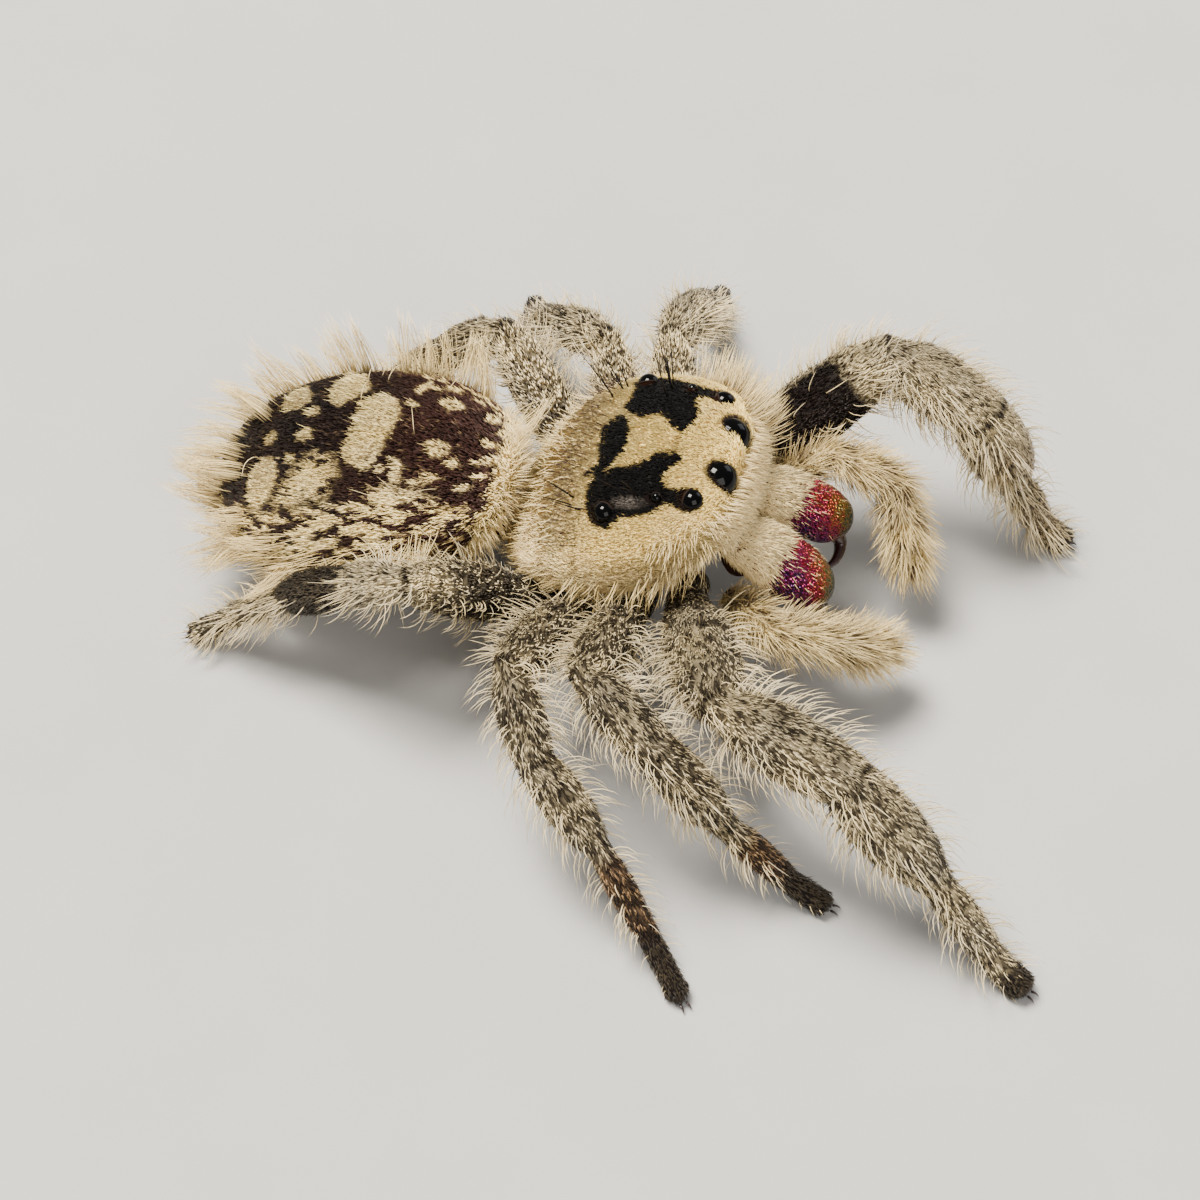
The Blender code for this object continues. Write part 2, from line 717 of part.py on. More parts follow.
def grow_coat(thing, roots, scale, trees, taken, rng):
    """Fuse locks of long hair into a piece."""
    locks = new_collection(thing.name + "_locks")
    for root, normal, lie, length, steep in roots:
        twist = Matrix.Rotation(rng.uniform(-0.22, 0.22), 3, normal)
        length *= rng.uniform(0.88, 1.14)
        for shorter in LOCK_SHORTER:
            rings, tip = lock_rings(root, normal, twist @ lie, length * shorter, steep, scale)
            if has_room(rings, tip, thing.name, trees, taken):
                points, faces = loft(rings, None, tip)
                object_from("lock", points, faces, locks, None)
                break
    if locks.objects:
        fuse = thing.modifiers.new("locks", "BOOLEAN")
        fuse.operation = "UNION"
        fuse.operand_type = "COLLECTION"
        fuse.collection = locks
        plain = thing.data
        view = bpy.context.evaluated_depsgraph_get()
        fused = bpy.data.meshes.new_from_object(thing.evaluated_get(view), depsgraph=view)
        thing.modifiers.remove(fuse)
        largest_shell(fused)
        fused.materials.clear()
        fused.materials.append(plain.materials[0])
        for face in fused.polygons:
            face.material_index = 0
        thing.data = fused
        fused.name = thing.name
        for lock in list(locks.objects):
            bpy.data.objects.remove(lock, do_unlink=True)
    bpy.data.collections.remove(locks)


def main():
    """Clear the scene and build the spider."""
    for thing in list(bpy.data.objects):
        bpy.data.objects.remove(thing, do_unlink=True)
    parts = new_collection(NAME)
    cutters = new_collection(NAME + "_cutters")

    fur = new_material("cream_fur", (0.72, 0.62, 0.45), 0.9)
    dark = new_material("dark_velvet", (0.05, 0.025, 0.02), 0.85)
    jaw = new_material("jaw_sheen", (0.55, 0.06, 0.16), 0.3, 0.8)
    eye = new_material("eye_gloss", (0.004, 0.003, 0.003), 0.05)
    horn = new_material("fang_horn", (0.04, 0.01, 0.008), 0.25)

    limbs = []
    carapace = make_carapace(parts, fur)
    make_keel("sternum", STERNUM, parts, dark)
    make_keel("mouthparts", MOUTHPARTS, parts, dark)
    make_pedicel(parts, dark)
    abdomen = make_abdomen(parts, fur)
    make_spinnerets(parts, dark)
    for side, sign in (("right", -1), ("left", 1)):
        make_chelicera(side, sign, parts, jaw)
        make_fang(side, sign, parts, horn)
        limbs += make_palp(side, parts, fur)
    for name in LEGS:
        limbs += make_leg(name, parts, fur)
    make_eyes(parts, cutters, eye)

    trees = {}
    for thing in parts.objects:
        corners = [v.co / MM + CENTRE for v in thing.data.vertices]
        trees[thing.name] = BVHTree.FromPolygons(corners, [tuple(f.vertices) for f in thing.data.polygons])
    rng = random.Random(LOCK_SEED)
    taken = {}
    for thing, stations, kind in limbs:
        scale = min(1.0, max(radius for place, radius in stations) / 0.42)
        grow_coat(thing, limb_roots(stations, kind, rng), scale, trees, taken, rng)
    grow_coat(carapace, carapace_roots(rng), 1.0, trees, taken, rng)
    grow_coat(carapace, tuft_roots(), TUFT_SCALE, trees, taken, rng)
    grow_coat(abdomen, abdomen_roots(rng), 1.0, trees, taken, rng)
    cut_sockets(carapace, cutters)


main()
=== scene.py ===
"""Dresses the jumping spider: skin, scales, hair, eyes and jaws, then floor, light and camera.

The spider is worked out in millimetres in the same body frame as its solids, with the same
named places, and turned into metres where a mesh is made.
"""

import math

import bmesh
import bpy
import numpy as np
from mathutils import Matrix, Vector


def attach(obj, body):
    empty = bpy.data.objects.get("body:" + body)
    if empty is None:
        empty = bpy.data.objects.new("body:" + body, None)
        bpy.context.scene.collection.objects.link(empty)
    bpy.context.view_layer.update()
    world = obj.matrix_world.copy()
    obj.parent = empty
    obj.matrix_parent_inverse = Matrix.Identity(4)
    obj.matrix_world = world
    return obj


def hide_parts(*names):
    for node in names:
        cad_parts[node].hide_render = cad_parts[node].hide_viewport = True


MM = 0.001
UP = np.array((0.0, 0.0, 1.0))
CENTRE = np.array((0.212, -0.035, 0.0))
SIDES = (("right", -1), ("left", 1))
FULL_COAT = 1.0

# The head's own frame, at the middle of the rear eyes
HEAD_PLACE = np.array((0.51, 0.47, 5.10))
HEAD_TURN = math.radians(-5.5)
HEAD_RAISE = math.radians(18.0)

# Carapace from rear margin to face: forward, half width, top, bottom
CARAPACE = np.array((
    (-3.36, 0.02, -2.06, -2.12),
    (-3.22, 0.95, -1.80, -2.34),
    (-2.90, 1.55, -1.40, -2.34),
    (-2.20, 2.12, -0.72, -2.32),
    (-1.30, 2.56, -0.02, -2.26),
    (-0.35, 2.72, 0.33, -2.20),
    (0.70, 2.62, 0.40, -2.05),
    (1.50, 2.34, 0.32, -1.80),
    (2.08, 1.92, 0.17, -1.62),
    (2.42, 1.34, -0.02, -1.50),
    (2.55, 0.02, -0.72, -0.80),
))
CARAPACE_STEPS = np.linalg.norm(np.diff(CARAPACE[:, :3], axis=0), axis=1)
CARAPACE_SHARES = np.concatenate(([0.0], np.cumsum(CARAPACE_STEPS))) / CARAPACE_STEPS.sum()
SQUARE_TOP = 2.5
SQUARE_BOTTOM = 3.4
WAIST = 0.42

# Eyes: forward, to each side, up and radius
EYES = {
    "front_middle": (2.14, 0.60, -0.35, 0.45),
    "front_side": (1.84, 1.40, -0.13, 0.27),
    "small": (1.16, 1.56, 0.16, 0.12),
    "rear": (0.00, 1.86, 0.00, 0.25),
}

# Low bodies on the midline in the head frame: forward, up, half width, half height
STERNUM = (
    (-2.95, -2.98, 0.20, 0.22),
    (-2.10, -3.02, 0.52, 0.32),
    (-0.60, -3.04, 0.66, 0.36),
    (0.60, -3.02, 0.56, 0.34),
    (1.05, -3.00, 0.34, 0.26),
)
MOUTHPARTS = (
    (1.36, -3.10, 0.48, 0.30),
    (1.60, -3.22, 0.78, 0.40),
    (1.86, -3.42, 0.72, 0.36),
    (2.06, -3.60, 0.40, 0.20),
)
PEDICEL = ((-1.50, 0.70, 1.20, 0.34), (-2.07, 0.57, 1.42, 0.26), (-2.70, 0.46, 1.66, 0.34))

# Jaw bases and fangs in the head frame
CHELICERA = (
    (1.86, 0.72, -1.80, 0.40, 0.30),
    (2.10, 0.74, -2.04, 0.50, 0.42),
    (2.48, 0.76, -2.34, 0.60, 0.62),
    (3.00, 0.84, -2.82, 0.66, 0.73),
    (3.42, 0.92, -3.28, 0.63, 0.68),
    (3.62, 0.97, -3.66, 0.50, 0.48),
    (3.68, 0.97, -3.90, 0.16, 0.16),
)
FANG = (
    (3.52, 0.98, -3.70, 0.20),
    (3.54, 1.02, -4.05, 0.18),
    (3.56, 1.04, -4.34, 0.15),
    (3.54, 0.76, -4.46, 0.12),
    (3.42, 0.46, -4.46, 0.08),
    (3.24, 0.26, -4.34, 0.02),
)

# Palps in the head frame: base, knee, end of tibia, tip
PALPS = {
    "right": ((1.80, -1.42, -3.36), (2.95, -2.30, -3.34), (4.02, -1.92, -4.20), (5.00, -1.02, -5.66)),
    "left": ((1.80, 1.42, -3.36), (3.30, 2.42, -2.86), (4.72, 2.34, -3.80), (5.02, 1.02, -5.56)),
}
PALP_RADIUS = 0.36

# Abdomen
ABDOMEN_FRONT = np.array((-2.05, 0.44, 3.05))
ABDOMEN_TAIL = np.array((-8.90, 0.44, 2.15))
ABDOMEN_HALF_WIDTH = 2.74
ABDOMEN_HALF_HEIGHT = 2.30
ABDOMEN_LIFT = 0.05
ABDOMEN_LEAN = math.radians(24.0)
ABDOMEN_WIDEST = 0.47
# For its markings: half its length and one degree round it, in millimetres
ABDOMEN_HALF_LENGTH = 3.5
ABDOMEN_DEGREE = 0.045

# Legs: where each leaves the body, then length, heading and end height of each segment
COXA_OUT = 1.05
TROCHANTER_OUT = 1.86
COXA_UP = -3.06
LEGS = {
    "1_right": (0.95, (4.1, -72, 4.10), (3.0, -20, 3.60), (3.0, -25, 1.80), (2.0, -32, 0.62), (1.1, -28, 0)),
    "2_right": (-0.20, (3.9, -100, 4.00), (2.2, -38, 3.70), (2.5, -14, 1.80),
                (2.0, -16, 0.62), (1.05, -12, 0)),
    "3_right": (-1.35, (4.1, -109, 3.80), (2.1, -62, 3.00), (2.3, -38, 1.90),
                (2.2, -44, 0.72), (1.4, -50, 0)),
    "4_right": (-2.50, (4.4, -140, 4.35), (1.7, -191, 3.50), (2.2, -193, 2.10),
                (2.1, -184, 0.70), (1.0, -172, 0)),
    "1_left": (0.95, (4.6, 37, 4.60), (2.4, -19, 3.90), (2.3, -12, 1.90), (1.5, -8, 0.62), (0.9, -8, 0)),
    "2_left": (-0.20, (3.3, 103, 3.65), (1.7, 76, 3.00), (2.0, 82, 1.40), (1.5, 88, 0.58), (0.95, 90, 0)),
    "3_left": (-1.35, (3.3, 112, 3.50), (1.6, 150, 2.90), (2.0, 130, 1.40), (1.5, 102, 0.58), (0.95, 96, 0)),
    "4_left": (-2.50, (3.9, 140, 3.95), (1.6, 184, 3.05), (2.2, 190, 1.50), (1.9, 190, 0.62), (1.0, 190, 0)),
}
FEMUR_RADIUS = {"1": 0.80, "2": 0.58, "3": 0.56, "4": 0.60}
TIBIA_RADIUS = {"1": 0.74, "2": 0.56, "3": 0.52, "4": 0.50}
TARSUS_RADIUS = {"1": 0.40, "2": 0.33, "3": 0.31, "4": 0.31}
LEG_TALLER = 1.12

# How far the skin lies inside the solids, for the short coat
COAT_DEPTH = 0.06
# How many scales and hairs grow on each part
COAT = {
    "head_scales": 49000, "head_fringe": 2700, "brow": 620, "face": 1500, "head_short": 5200, "nape": 260,
    "abdomen_scales": 49000, "tufts": 48, "far_tufts": 15, "hairs_in_tuft": 26, "flank": 1000,
    "abdomen_front": 700, "abdomen_short": 3600, "curls": 20,
    "leg_scales": 10400, "leg_fringe": 640, "fullest_fringe": 960, "leg_short": 1300, "toe": 90,
    "palp_scales": 2600, "palp_hairs": 2300, "jaw_hairs": 2300, "jaw_scales": 4200, "jaw_stray": 160,
}
# How far a tuft's roots and tips stray
TUFT_WIDE = 0.15
TUFT_SPILL = 0.11
# Size of one tuft's patch on the coat's map
TUFT_PATCH = 0.003
# Groups of bristles on the head: place along it, degrees from its top, length
BRISTLES = ((0.58, 29.0, 1.8), (-0.66, 33.0, 1.3))

# Studio: half size of the floor, and lamps with place, size, power and colour
FLOOR_HALF = 2.0
LAMPS = (
    ("key", (-0.22, 0.12, 0.60), 0.28, 20.0, (1.0, 0.94, 0.84)),
    ("fill", (0.32, -0.48, 0.40), 0.48, 4.5, (1.0, 0.95, 0.88)),
    ("rim", (0.40, 0.48, 0.28), 0.32, 1.2, (0.92, 0.96, 1.0)),
)


def srgb(text):
    """Linear red, green and blue of a colour written as six hex digits."""
    parts = np.array([int(text[k:k + 2], 16) for k in (0, 2, 4)]) / 255.0
    return np.where(parts <= 0.04045, parts / 12.92, ((parts + 0.055) / 1.055) ** 2.4)


CREAM = srgb("fbda84")
PALE = srgb("fae4b0")
TAN = srgb("ccae7c")
GREY = srgb("c3baa2")
BROWN = srgb("4a2c1a")
RUST = srgb("8a5a30")
MAROON = srgb("3a2019")
REAR_MAROON = srgb("1c120e")
# Grey of the worn bare streak: partly real wear, partly a painted sheen on the bare cuticle
WORN_AND_SHEEN = srgb("7a726a")
BLACK = srgb("080606")
# Colours of the jaws' iridescent painted sheen along its phase
JAW_SHEEN = (
    (0.00, "100720"), (0.20, "2e0839"), (0.38, "600b39"), (0.54, "6f1020"),
    (0.67, "6b2a0d"), (0.79, "604511"), (0.91, "333d13"), (1.00, "182f18"),
)

# Black patches of the head, each a closed outline of (forward, left)
HEAD_BLACK = (
    ((-0.40, -1.11), (-0.27, -0.93), (0.05, -0.89), (0.54, -0.80), (0.79, -0.68), (0.97, -0.47),
     (1.18, -0.42), (1.39, -0.41), (1.60, -0.50), (1.63, -0.59), (1.52, -0.74), (1.37, -0.88),
     (1.28, -1.10), (1.28, -1.21), (1.45, -1.31), (1.63, -1.30), (1.88, -1.24), (2.07, -1.39),
     (2.07, -1.54), (1.94, -1.70), (1.75, -1.74), (1.60, -1.69), (1.43, -1.66), (1.33, -1.76),
     (1.20, -1.89), (0.96, -1.96), (0.69, -1.97), (0.47, -2.01), (0.41, -2.11), (0.20, -2.22),
     (-0.03, -2.22), (-0.21, -2.08), (-0.33, -1.86), (-0.38, -1.62), (-0.44, -1.23)),
    ((-0.32, 0.62), (-0.12, 0.64), (0.08, 0.45), (0.23, 0.12), (0.27, -0.17), (0.21, -0.45),
     (0.12, -0.66), (0.05, -0.80), (-0.10, -0.90), (-0.25, -1.00), (-0.58, -1.02), (-0.65, -0.92),
     (-0.44, -0.76), (-0.36, -0.60), (-0.36, -0.42), (-0.46, -0.18), (-0.54, 0.12), (-0.54, 0.44)),
    ((-0.18, 0.90), (-0.12, 1.29), (-0.14, 1.61), (-0.06, 2.02), (0.11, 2.14), (0.47, 2.02),
     (0.77, 1.92), (1.05, 1.84), (1.37, 1.72), (1.65, 1.64), (1.90, 1.60), (2.07, 1.52),
     (2.10, 1.30), (1.96, 1.22), (1.71, 1.29), (1.48, 1.26), (1.48, 1.10), (1.58, 0.85),
     (1.63, 0.56), (1.56, 0.36), (1.43, 0.15), (1.28, 0.20), (1.09, 0.34), (0.97, 0.51),
     (0.77, 0.61), (0.58, 0.61), (0.41, 0.54), (0.20, 0.62), (-0.01, 0.74)),
)
# Worn bare streak of the head, grey with a painted sheen, the reflection on its bare cuticle painted in:
# forward, left, half length, half width, tilt in degrees
HEAD_WORN_AND_SHEEN = ((0.62, -1.70, 0.34, 0.13, 0),)
# Brown link between the black patches
HEAD_LINK = (((1.24, -0.02), (1.36, 0.02), (1.52, -0.38), (1.40, -0.42)),)

# Cream patches of the abdomen, each a closed outline in millimetres back from its front and
# round from its top, to the left where positive
ABDOMEN_CREAM = (
    ((3.51, 0.66), (3.23, 0.84), (2.93, 0.63), (2.81, 0.25), (2.85, -0.10), (2.97, -0.43),
     (2.99, -0.69), (3.04, -0.98), (3.18, -1.19), (3.40, -1.22), (3.60, -1.10), (3.75, -0.87),
     (3.79, -0.60), (3.72, -0.34), (3.70, 0.01), (3.70, 0.37), (3.65, 0.57)),
    ((5.54, -1.04), (5.34, -0.95), (5.16, -1.13), (5.09, -1.45), (5.13, -1.83), (5.23, -2.18),
     (5.39, -2.42), (5.61, -2.45), (5.75, -2.16), (5.81, -1.72), (5.77, -1.33)),
    ((5.51, 0.87), (5.46, 1.25), (5.35, 1.75), (5.05, 1.70), (4.80, 0.89), (4.81, 0.63), (5.01, 0.45),
     (5.28, 0.45)),
    ((4.43, 0.92), (4.40, 1.50), (4.20, 2.00), (3.80, 1.90), (3.63, 1.19), (3.56, 0.92), (3.73, 0.75),
     (3.89, 0.57), (4.10, 0.34), (4.31, 0.51)),
    ((2.66, 1.04), (2.57, 1.36), (2.41, 1.74), (2.33, 1.63), (2.43, 1.19), (2.55, 0.92)),
    ((2.80, -0.89), (2.67, -0.87), (2.52, -1.01), (2.45, -1.25), (2.50, -1.50), (2.66, -1.45)),
)
ABDOMEN_SPECKLED = (
    ((4.83, -1.57), (4.67, -1.25), (4.55, -1.01), (4.26, -0.84), (4.08, -0.89), (3.89, -1.04),
     (3.77, -1.39), (3.84, -1.60), (3.89, -1.83), (4.10, -1.98), (4.41, -2.01), (4.67, -2.27),
     (4.90, -2.33), (5.06, -2.10), (4.95, -1.74)),
)
# Small cream spots of the abdomen: back, round, half length, half width, tilt in degrees
ABDOMEN_SPOTS = (
    (4.66, 0.28, 0.15, 0.17, 0),
    (4.69, -0.40, 0.17, 0.18, 0),
    (5.48, -0.37, 0.15, 0.21, 0),
    (4.87, -1.04, 0.12, 0.15, 0),
    (1.87, 1.60, 0.21, 0.16, 129),
    (1.86, 0.87, 0.26, 0.20, 146),
    (0.99, 0.98, 0.25, 0.14, 122),
    (1.91, -0.54, 0.24, 0.21, 166),
    (1.59, -0.84, 0.13, 0.11, 167),
    (0.95, -0.01, 0.18, 0.13, 141),
    (0.99, -0.66, 0.21, 0.10, 153),
    (0.95, -1.07, 0.17, 0.08, 165),
    (1.92, -1.25, 0.18, 0.08, 0),
    (1.21, -1.45, 0.18, 0.10, 170),
    (2.15, -1.42, 0.18, 0.07, 0),
    (2.92, -1.19, 0.08, 0.09, 0),
    (2.25, 1.35, 0.13, 0.09, 0),
    (2.45, 1.95, 0.13, 0.09, 0),
    (2.15, 1.95, 0.13, 0.09, 0),
    (1.62, 2.05, 0.13, 0.09, 0),
    (1.40, 1.88, 0.13, 0.09, 0),
    (1.20, 2.05, 0.13, 0.09, 0),
    (1.02, 1.72, 0.13, 0.09, 0),
    (0.86, 1.45, 0.13, 0.09, 0),
    (0.78, 1.95, 0.13, 0.09, 0),
    (1.32, 1.48, 0.13, 0.09, 0),
    (0.72, 0.55, 0.13, 0.09, 0),
    (0.78, -0.45, 0.13, 0.09, 0),
    (2.62, 0.55, 0.13, 0.09, 0),
)
# Small dark pits in the spots, in the same form
ABDOMEN_PITS = (
    (1.88, 0.86, 0.09, 0.06, 146),
    (1.79, -0.54, 0.09, 0.06, 160),
    (3.24, -0.96, 0.13, 0.03, 148),
)
# Where the pale flank begins: back and round on the near side, round on the far side
FLANK = np.array((
    (0.0, 1.5), (0.52, 1.80), (0.85, 1.98), (1.40, 1.86), (1.79, 1.70), (2.33, 1.50),
    (2.73, 1.50), (3.21, 1.63), (3.49, 1.72), (3.87, 1.95), (4.62, 2.27), (5.08, 2.42),
    (7.0, 2.6),
))
FAR_FLANK = 2.1

# How dark each leg is along it, from coxa to toe: share of the way, share of dark scales
LEG_TONES = {
    "1_right": ((0.0, 0.5), (0.30, 0.34), (0.36, 0.28), (0.95, 0.28), (0.975, 0.9), (1.0, 0.95)),
    "2_right": ((0.0, 0.5), (0.35, 0.36), (0.80, 0.36), (0.885, 0.5), (0.905, 1.0), (1.0, 1.0)),
    "3_right": ((0.0, 0.5), (0.35, 0.36), (0.70, 0.4), (0.86, 0.45), (0.89, 1.0), (1.0, 1.0)),
    "4_right": ((0.0, 0.6), (0.30, 0.55), (0.40, 0.05), (0.53, 0.05), (0.56, 1.0), (0.69, 1.0), (0.75, 0.2),
                (1.0, 0.3)),
    "1_left": ((0.0, 0.6), (0.20, 0.4), (0.36, 0.12), (0.60, 0.08), (0.96, 0.12), (1.0, 0.7)),
    "2_left": ((0.0, 0.5), (0.35, 0.16), (0.80, 0.2), (0.89, 0.5), (0.91, 1.0), (1.0, 1.0)),
    "3_left": ((0.0, 0.5), (0.35, 0.18), (0.80, 0.3), (0.89, 0.5), (0.91, 1.0), (1.0, 1.0)),
    "4_left": ((0.0, 0.5), (0.35, 0.2), (0.55, 0.3), (0.76, 0.15), (1.0, 0.3)),
}
# Rusty metatarsus of some legs: first and last share of the way, and how rusty
LEG_RUST = {"3_right": (0.72, 0.90, 0.75), "2_right": (0.78, 0.90, 0.75), "1_left": (0.68, 0.97, 0.25),
            "2_left": (0.80, 0.90, 0.75), "3_left": (0.80, 0.90, 0.75)}
# How far the long hair of some legs goes on down to the foot
SHAGGY = {"1_right": 0.7, "1_left": 1.0, "4_right": 1.0, "4_left": 0.8}


def head_axes():
    """Forward, left and up of the head in the body frame."""
    forward = np.array((
        math.cos(HEAD_RAISE) * math.cos(HEAD_TURN),
        math.cos(HEAD_RAISE) * math.sin(HEAD_TURN),
        math.sin(HEAD_RAISE),
    ))
    left = np.array((-math.sin(HEAD_TURN), math.cos(HEAD_TURN), 0.0))
    return forward, left, np.cross(forward, left)


HEAD_FORWARD, HEAD_LEFT, HEAD_UP = head_axes()


def head_point(forward, left, up):
    """Points of the head frame in the body frame."""
    forward, left, up = np.broadcast_arrays(forward, left, up)
    return (HEAD_PLACE + forward[..., None] * HEAD_FORWARD
            + left[..., None] * HEAD_LEFT + up[..., None] * HEAD_UP)


def head_place(points):
    """Forward, left and up of points in the head frame."""
    away = points - HEAD_PLACE
    return away @ HEAD_FORWARD, away @ HEAD_LEFT, away @ HEAD_UP


def unit(vectors):
    """Vectors at length one."""
    return vectors / np.maximum(np.linalg.norm(vectors, axis=-1, keepdims=True), 1e-9)


def smooth_path(knots, shares):
    """A smooth curve through knots of any width, at shares of its length."""
    knots = np.asarray(knots, float)
    steps = np.linalg.norm(np.diff(knots[:, :3], axis=0), axis=1)
    places = np.concatenate(([0.0], np.cumsum(steps))) / steps.sum()
    slopes = np.gradient(knots, places, axis=0)
    spot = np.clip(np.searchsorted(places, shares, side="right") - 1, 0, len(places) - 2)
    span = places[spot + 1] - places[spot]
    t = ((shares - places[spot]) / span)[..., None]
    span = span[..., None]
    return ((2 * t**3 - 3 * t**2 + 1) * knots[spot] + (t**3 - 2 * t**2 + t) * span * slopes[spot]
            + (3 * t**2 - 2 * t**3) * knots[spot + 1] + (t**3 - t**2) * span * slopes[spot + 1])


def squared(turn, power):
    """Cosine and sine of an angle on a squared-off circle."""
    cosine, sine = np.cos(turn), np.sin(turn)
    return (np.sign(cosine) * np.abs(cosine) ** (2.0 / power),
            np.sign(sine) * np.abs(sine) ** (2.0 / power))


def carapace_at(u, v):
    """The carapace from rear margin to face and round from its left side over the top."""
    rows = smooth_path(CARAPACE, u)
    along, half_width, top, bottom = (rows[..., k] for k in range(4))
    half_width = np.maximum(half_width, 0.01)
    waist = bottom + (top - bottom) * WAIST
    turn = 2.0 * math.pi * v
    power = np.where(np.sin(turn) > 0, SQUARE_TOP, SQUARE_BOTTOM)
    across, rise = squared(turn, power)
    reach = np.where(rise > 0, top - waist, waist - bottom)
    return head_point(along, half_width * across, waist + reach * rise)


def abdomen_at(u, v):
    """The abdomen from front to tail and round from its left side over the top."""
    share = 0.5 - 0.5 * np.cos(math.pi * np.clip(u, 0.004, 0.996))
    bent = share ** (math.log(0.5) / math.log(ABDOMEN_WIDEST))
    size = (4.0 * bent * (1.0 - bent)) ** 0.47
    lean = ABDOMEN_LEAN * (1.0 - share) ** 2
    zero = np.zeros_like(share)
    up = np.stack((np.sin(lean), zero, np.cos(lean)), axis=-1)
    turn = 2.0 * math.pi * v
    side = np.stack((zero, ABDOMEN_HALF_WIDTH * size * np.cos(turn), ABDOMEN_LIFT * size), axis=-1)
    axis = ABDOMEN_FRONT + (ABDOMEN_TAIL - ABDOMEN_FRONT) * share[..., None]
    return axis + side + up * (ABDOMEN_HALF_HEIGHT * size * np.sin(turn))[..., None]


def limb_at(knots, taller=1.0):
    """A limb along (place, radius) knots, as a function of shares along and round it."""
    def at(u, v):
        rows = smooth_path(knots, u)
        ahead = smooth_path(knots, np.clip(u + 0.004, 0.0, 1.0))[..., :3]
        behind = smooth_path(knots, np.clip(u - 0.004, 0.0, 1.0))[..., :3]
        along = unit(ahead - behind)
        side = unit(np.cross(along, (0.0, 0.0, 1.0)))
        up = np.cross(side, along)
        turn = 2.0 * math.pi * v
        radius = np.maximum(rows[..., 3], 0.01)
        return (rows[..., :3] + side * (radius * np.cos(turn))[..., None]
                + up * (radius * taller * np.sin(turn))[..., None])
    return at


def keel_at(stations):
    """A low body along the head's midline."""
    rows = np.array([(a, 0.0, h, w, d) for a, h, w, d in stations])

    def at(u, v):
        ahead, _, rise, wide, deep = np.moveaxis(smooth_path(rows, u), -1, 0)
        turn = 2.0 * math.pi * v
        return head_point(ahead, wide * np.cos(turn), rise + deep * np.sin(turn))
    return at


def jaw_at(sign):
    """A jaw base from the face down to the root of the fang."""
    rows = np.array([(a, sign * o, h, w, d) for a, o, h, w, d in CHELICERA])

    def at(u, v):
        here = smooth_path(rows, u)
        ahead = smooth_path(rows, np.clip(u + 0.01, 0.0, 1.0))
        down = ahead - smooth_path(rows, np.clip(u - 0.01, 0.0, 1.0))
        size = np.hypot(down[..., 0], down[..., 2])
        turn = 2.0 * math.pi * v
        front = here[..., 4] * np.sin(turn)
        return head_point(
            here[..., 0] - front * down[..., 2] / size,
            here[..., 1] + here[..., 3] * np.cos(turn),
            here[..., 2] + front * down[..., 0] / size)
    return at


def leg_joints(name):
    """Coxa, trochanter and the five joint ends of a leg."""
    station, *segments = LEGS[name]
    sign = -1 if name.endswith("right") else 1
    joints = [head_point(station, sign * out, COXA_UP) for out in (COXA_OUT, TROCHANTER_OUT)]
    for length, heading, height in segments:
        x, y, z = joints[-1]
        reach = math.sqrt(max(length**2 - (height - z) ** 2, 0.01))
        turn = math.radians(heading)
        joints.append(np.array((x + reach * math.cos(turn), y + reach * math.sin(turn), height)))
    return joints


def knots_between(start, end, shares, radius):
    """Knots of a segment: shares are (place along it, radius factor) pairs."""
    return [(*(start + (end - start) * t), radius * r) for t, r in shares]


def leg_knots(name):
    """Knots of a whole leg from coxa to toe."""
    pair = name[0]
    coxa, trochanter, knee, patella, ankle, mid_foot, toe = leg_joints(name)
    thigh, shin, foot = FEMUR_RADIUS[pair], TIBIA_RADIUS[pair], TARSUS_RADIUS[pair]
    above = np.array((toe[0], toe[1], 0.13))
    knots = knots_between(coxa, trochanter, ((0.1, 0.42), (0.75, 0.44)), 1.0)
    for start, end, shares, radius in (
        (trochanter, knee, ((0.16, 0.74), (0.42, 1.0), (0.70, 0.96), (0.90, 0.78), (0.985, 0.56)), thigh),
        (knee, patella, ((0.06, 0.60), (0.2, 0.84), (0.5, 1.0), (0.84, 0.93)), shin),
        (patella, ankle, ((0.03, 0.84), (0.2, 0.93), (0.45, 0.98), (0.8, 0.80), (0.97, 0.56)), shin),
        (ankle, mid_foot, ((0.08, 0.90), (0.3, 1.03), (0.75, 0.95), (0.97, 0.82)), foot),
        (mid_foot, above, ((0.16, 0.86), (0.62, 0.86), (0.93, 0.74), (1.0, 0.5)), foot),
    ):
        knots += knots_between(start, end, shares, radius)
    return np.array(knots)


def palp_knots(side):
    """Knots of a palp from its base to its tip."""
    base, knee, tibia, tip = (head_point(*place) for place in PALPS[side])
    knots = []
    for start, end, shares in (
        (base, knee, ((0.0, 0.75), (0.3, 0.9), (0.75, 0.95), (0.97, 0.70))),
        (knee, tibia, ((0.06, 0.76), (0.3, 1.0), (0.85, 0.96))),
        (tibia, tip, ((0.06, 0.92), (0.2, 1.04), (0.55, 1.14), (0.86, 0.88), (1.0, 0.40))),
    ):
        knots += knots_between(start, end, shares, PALP_RADIUS)
    return np.array(knots)


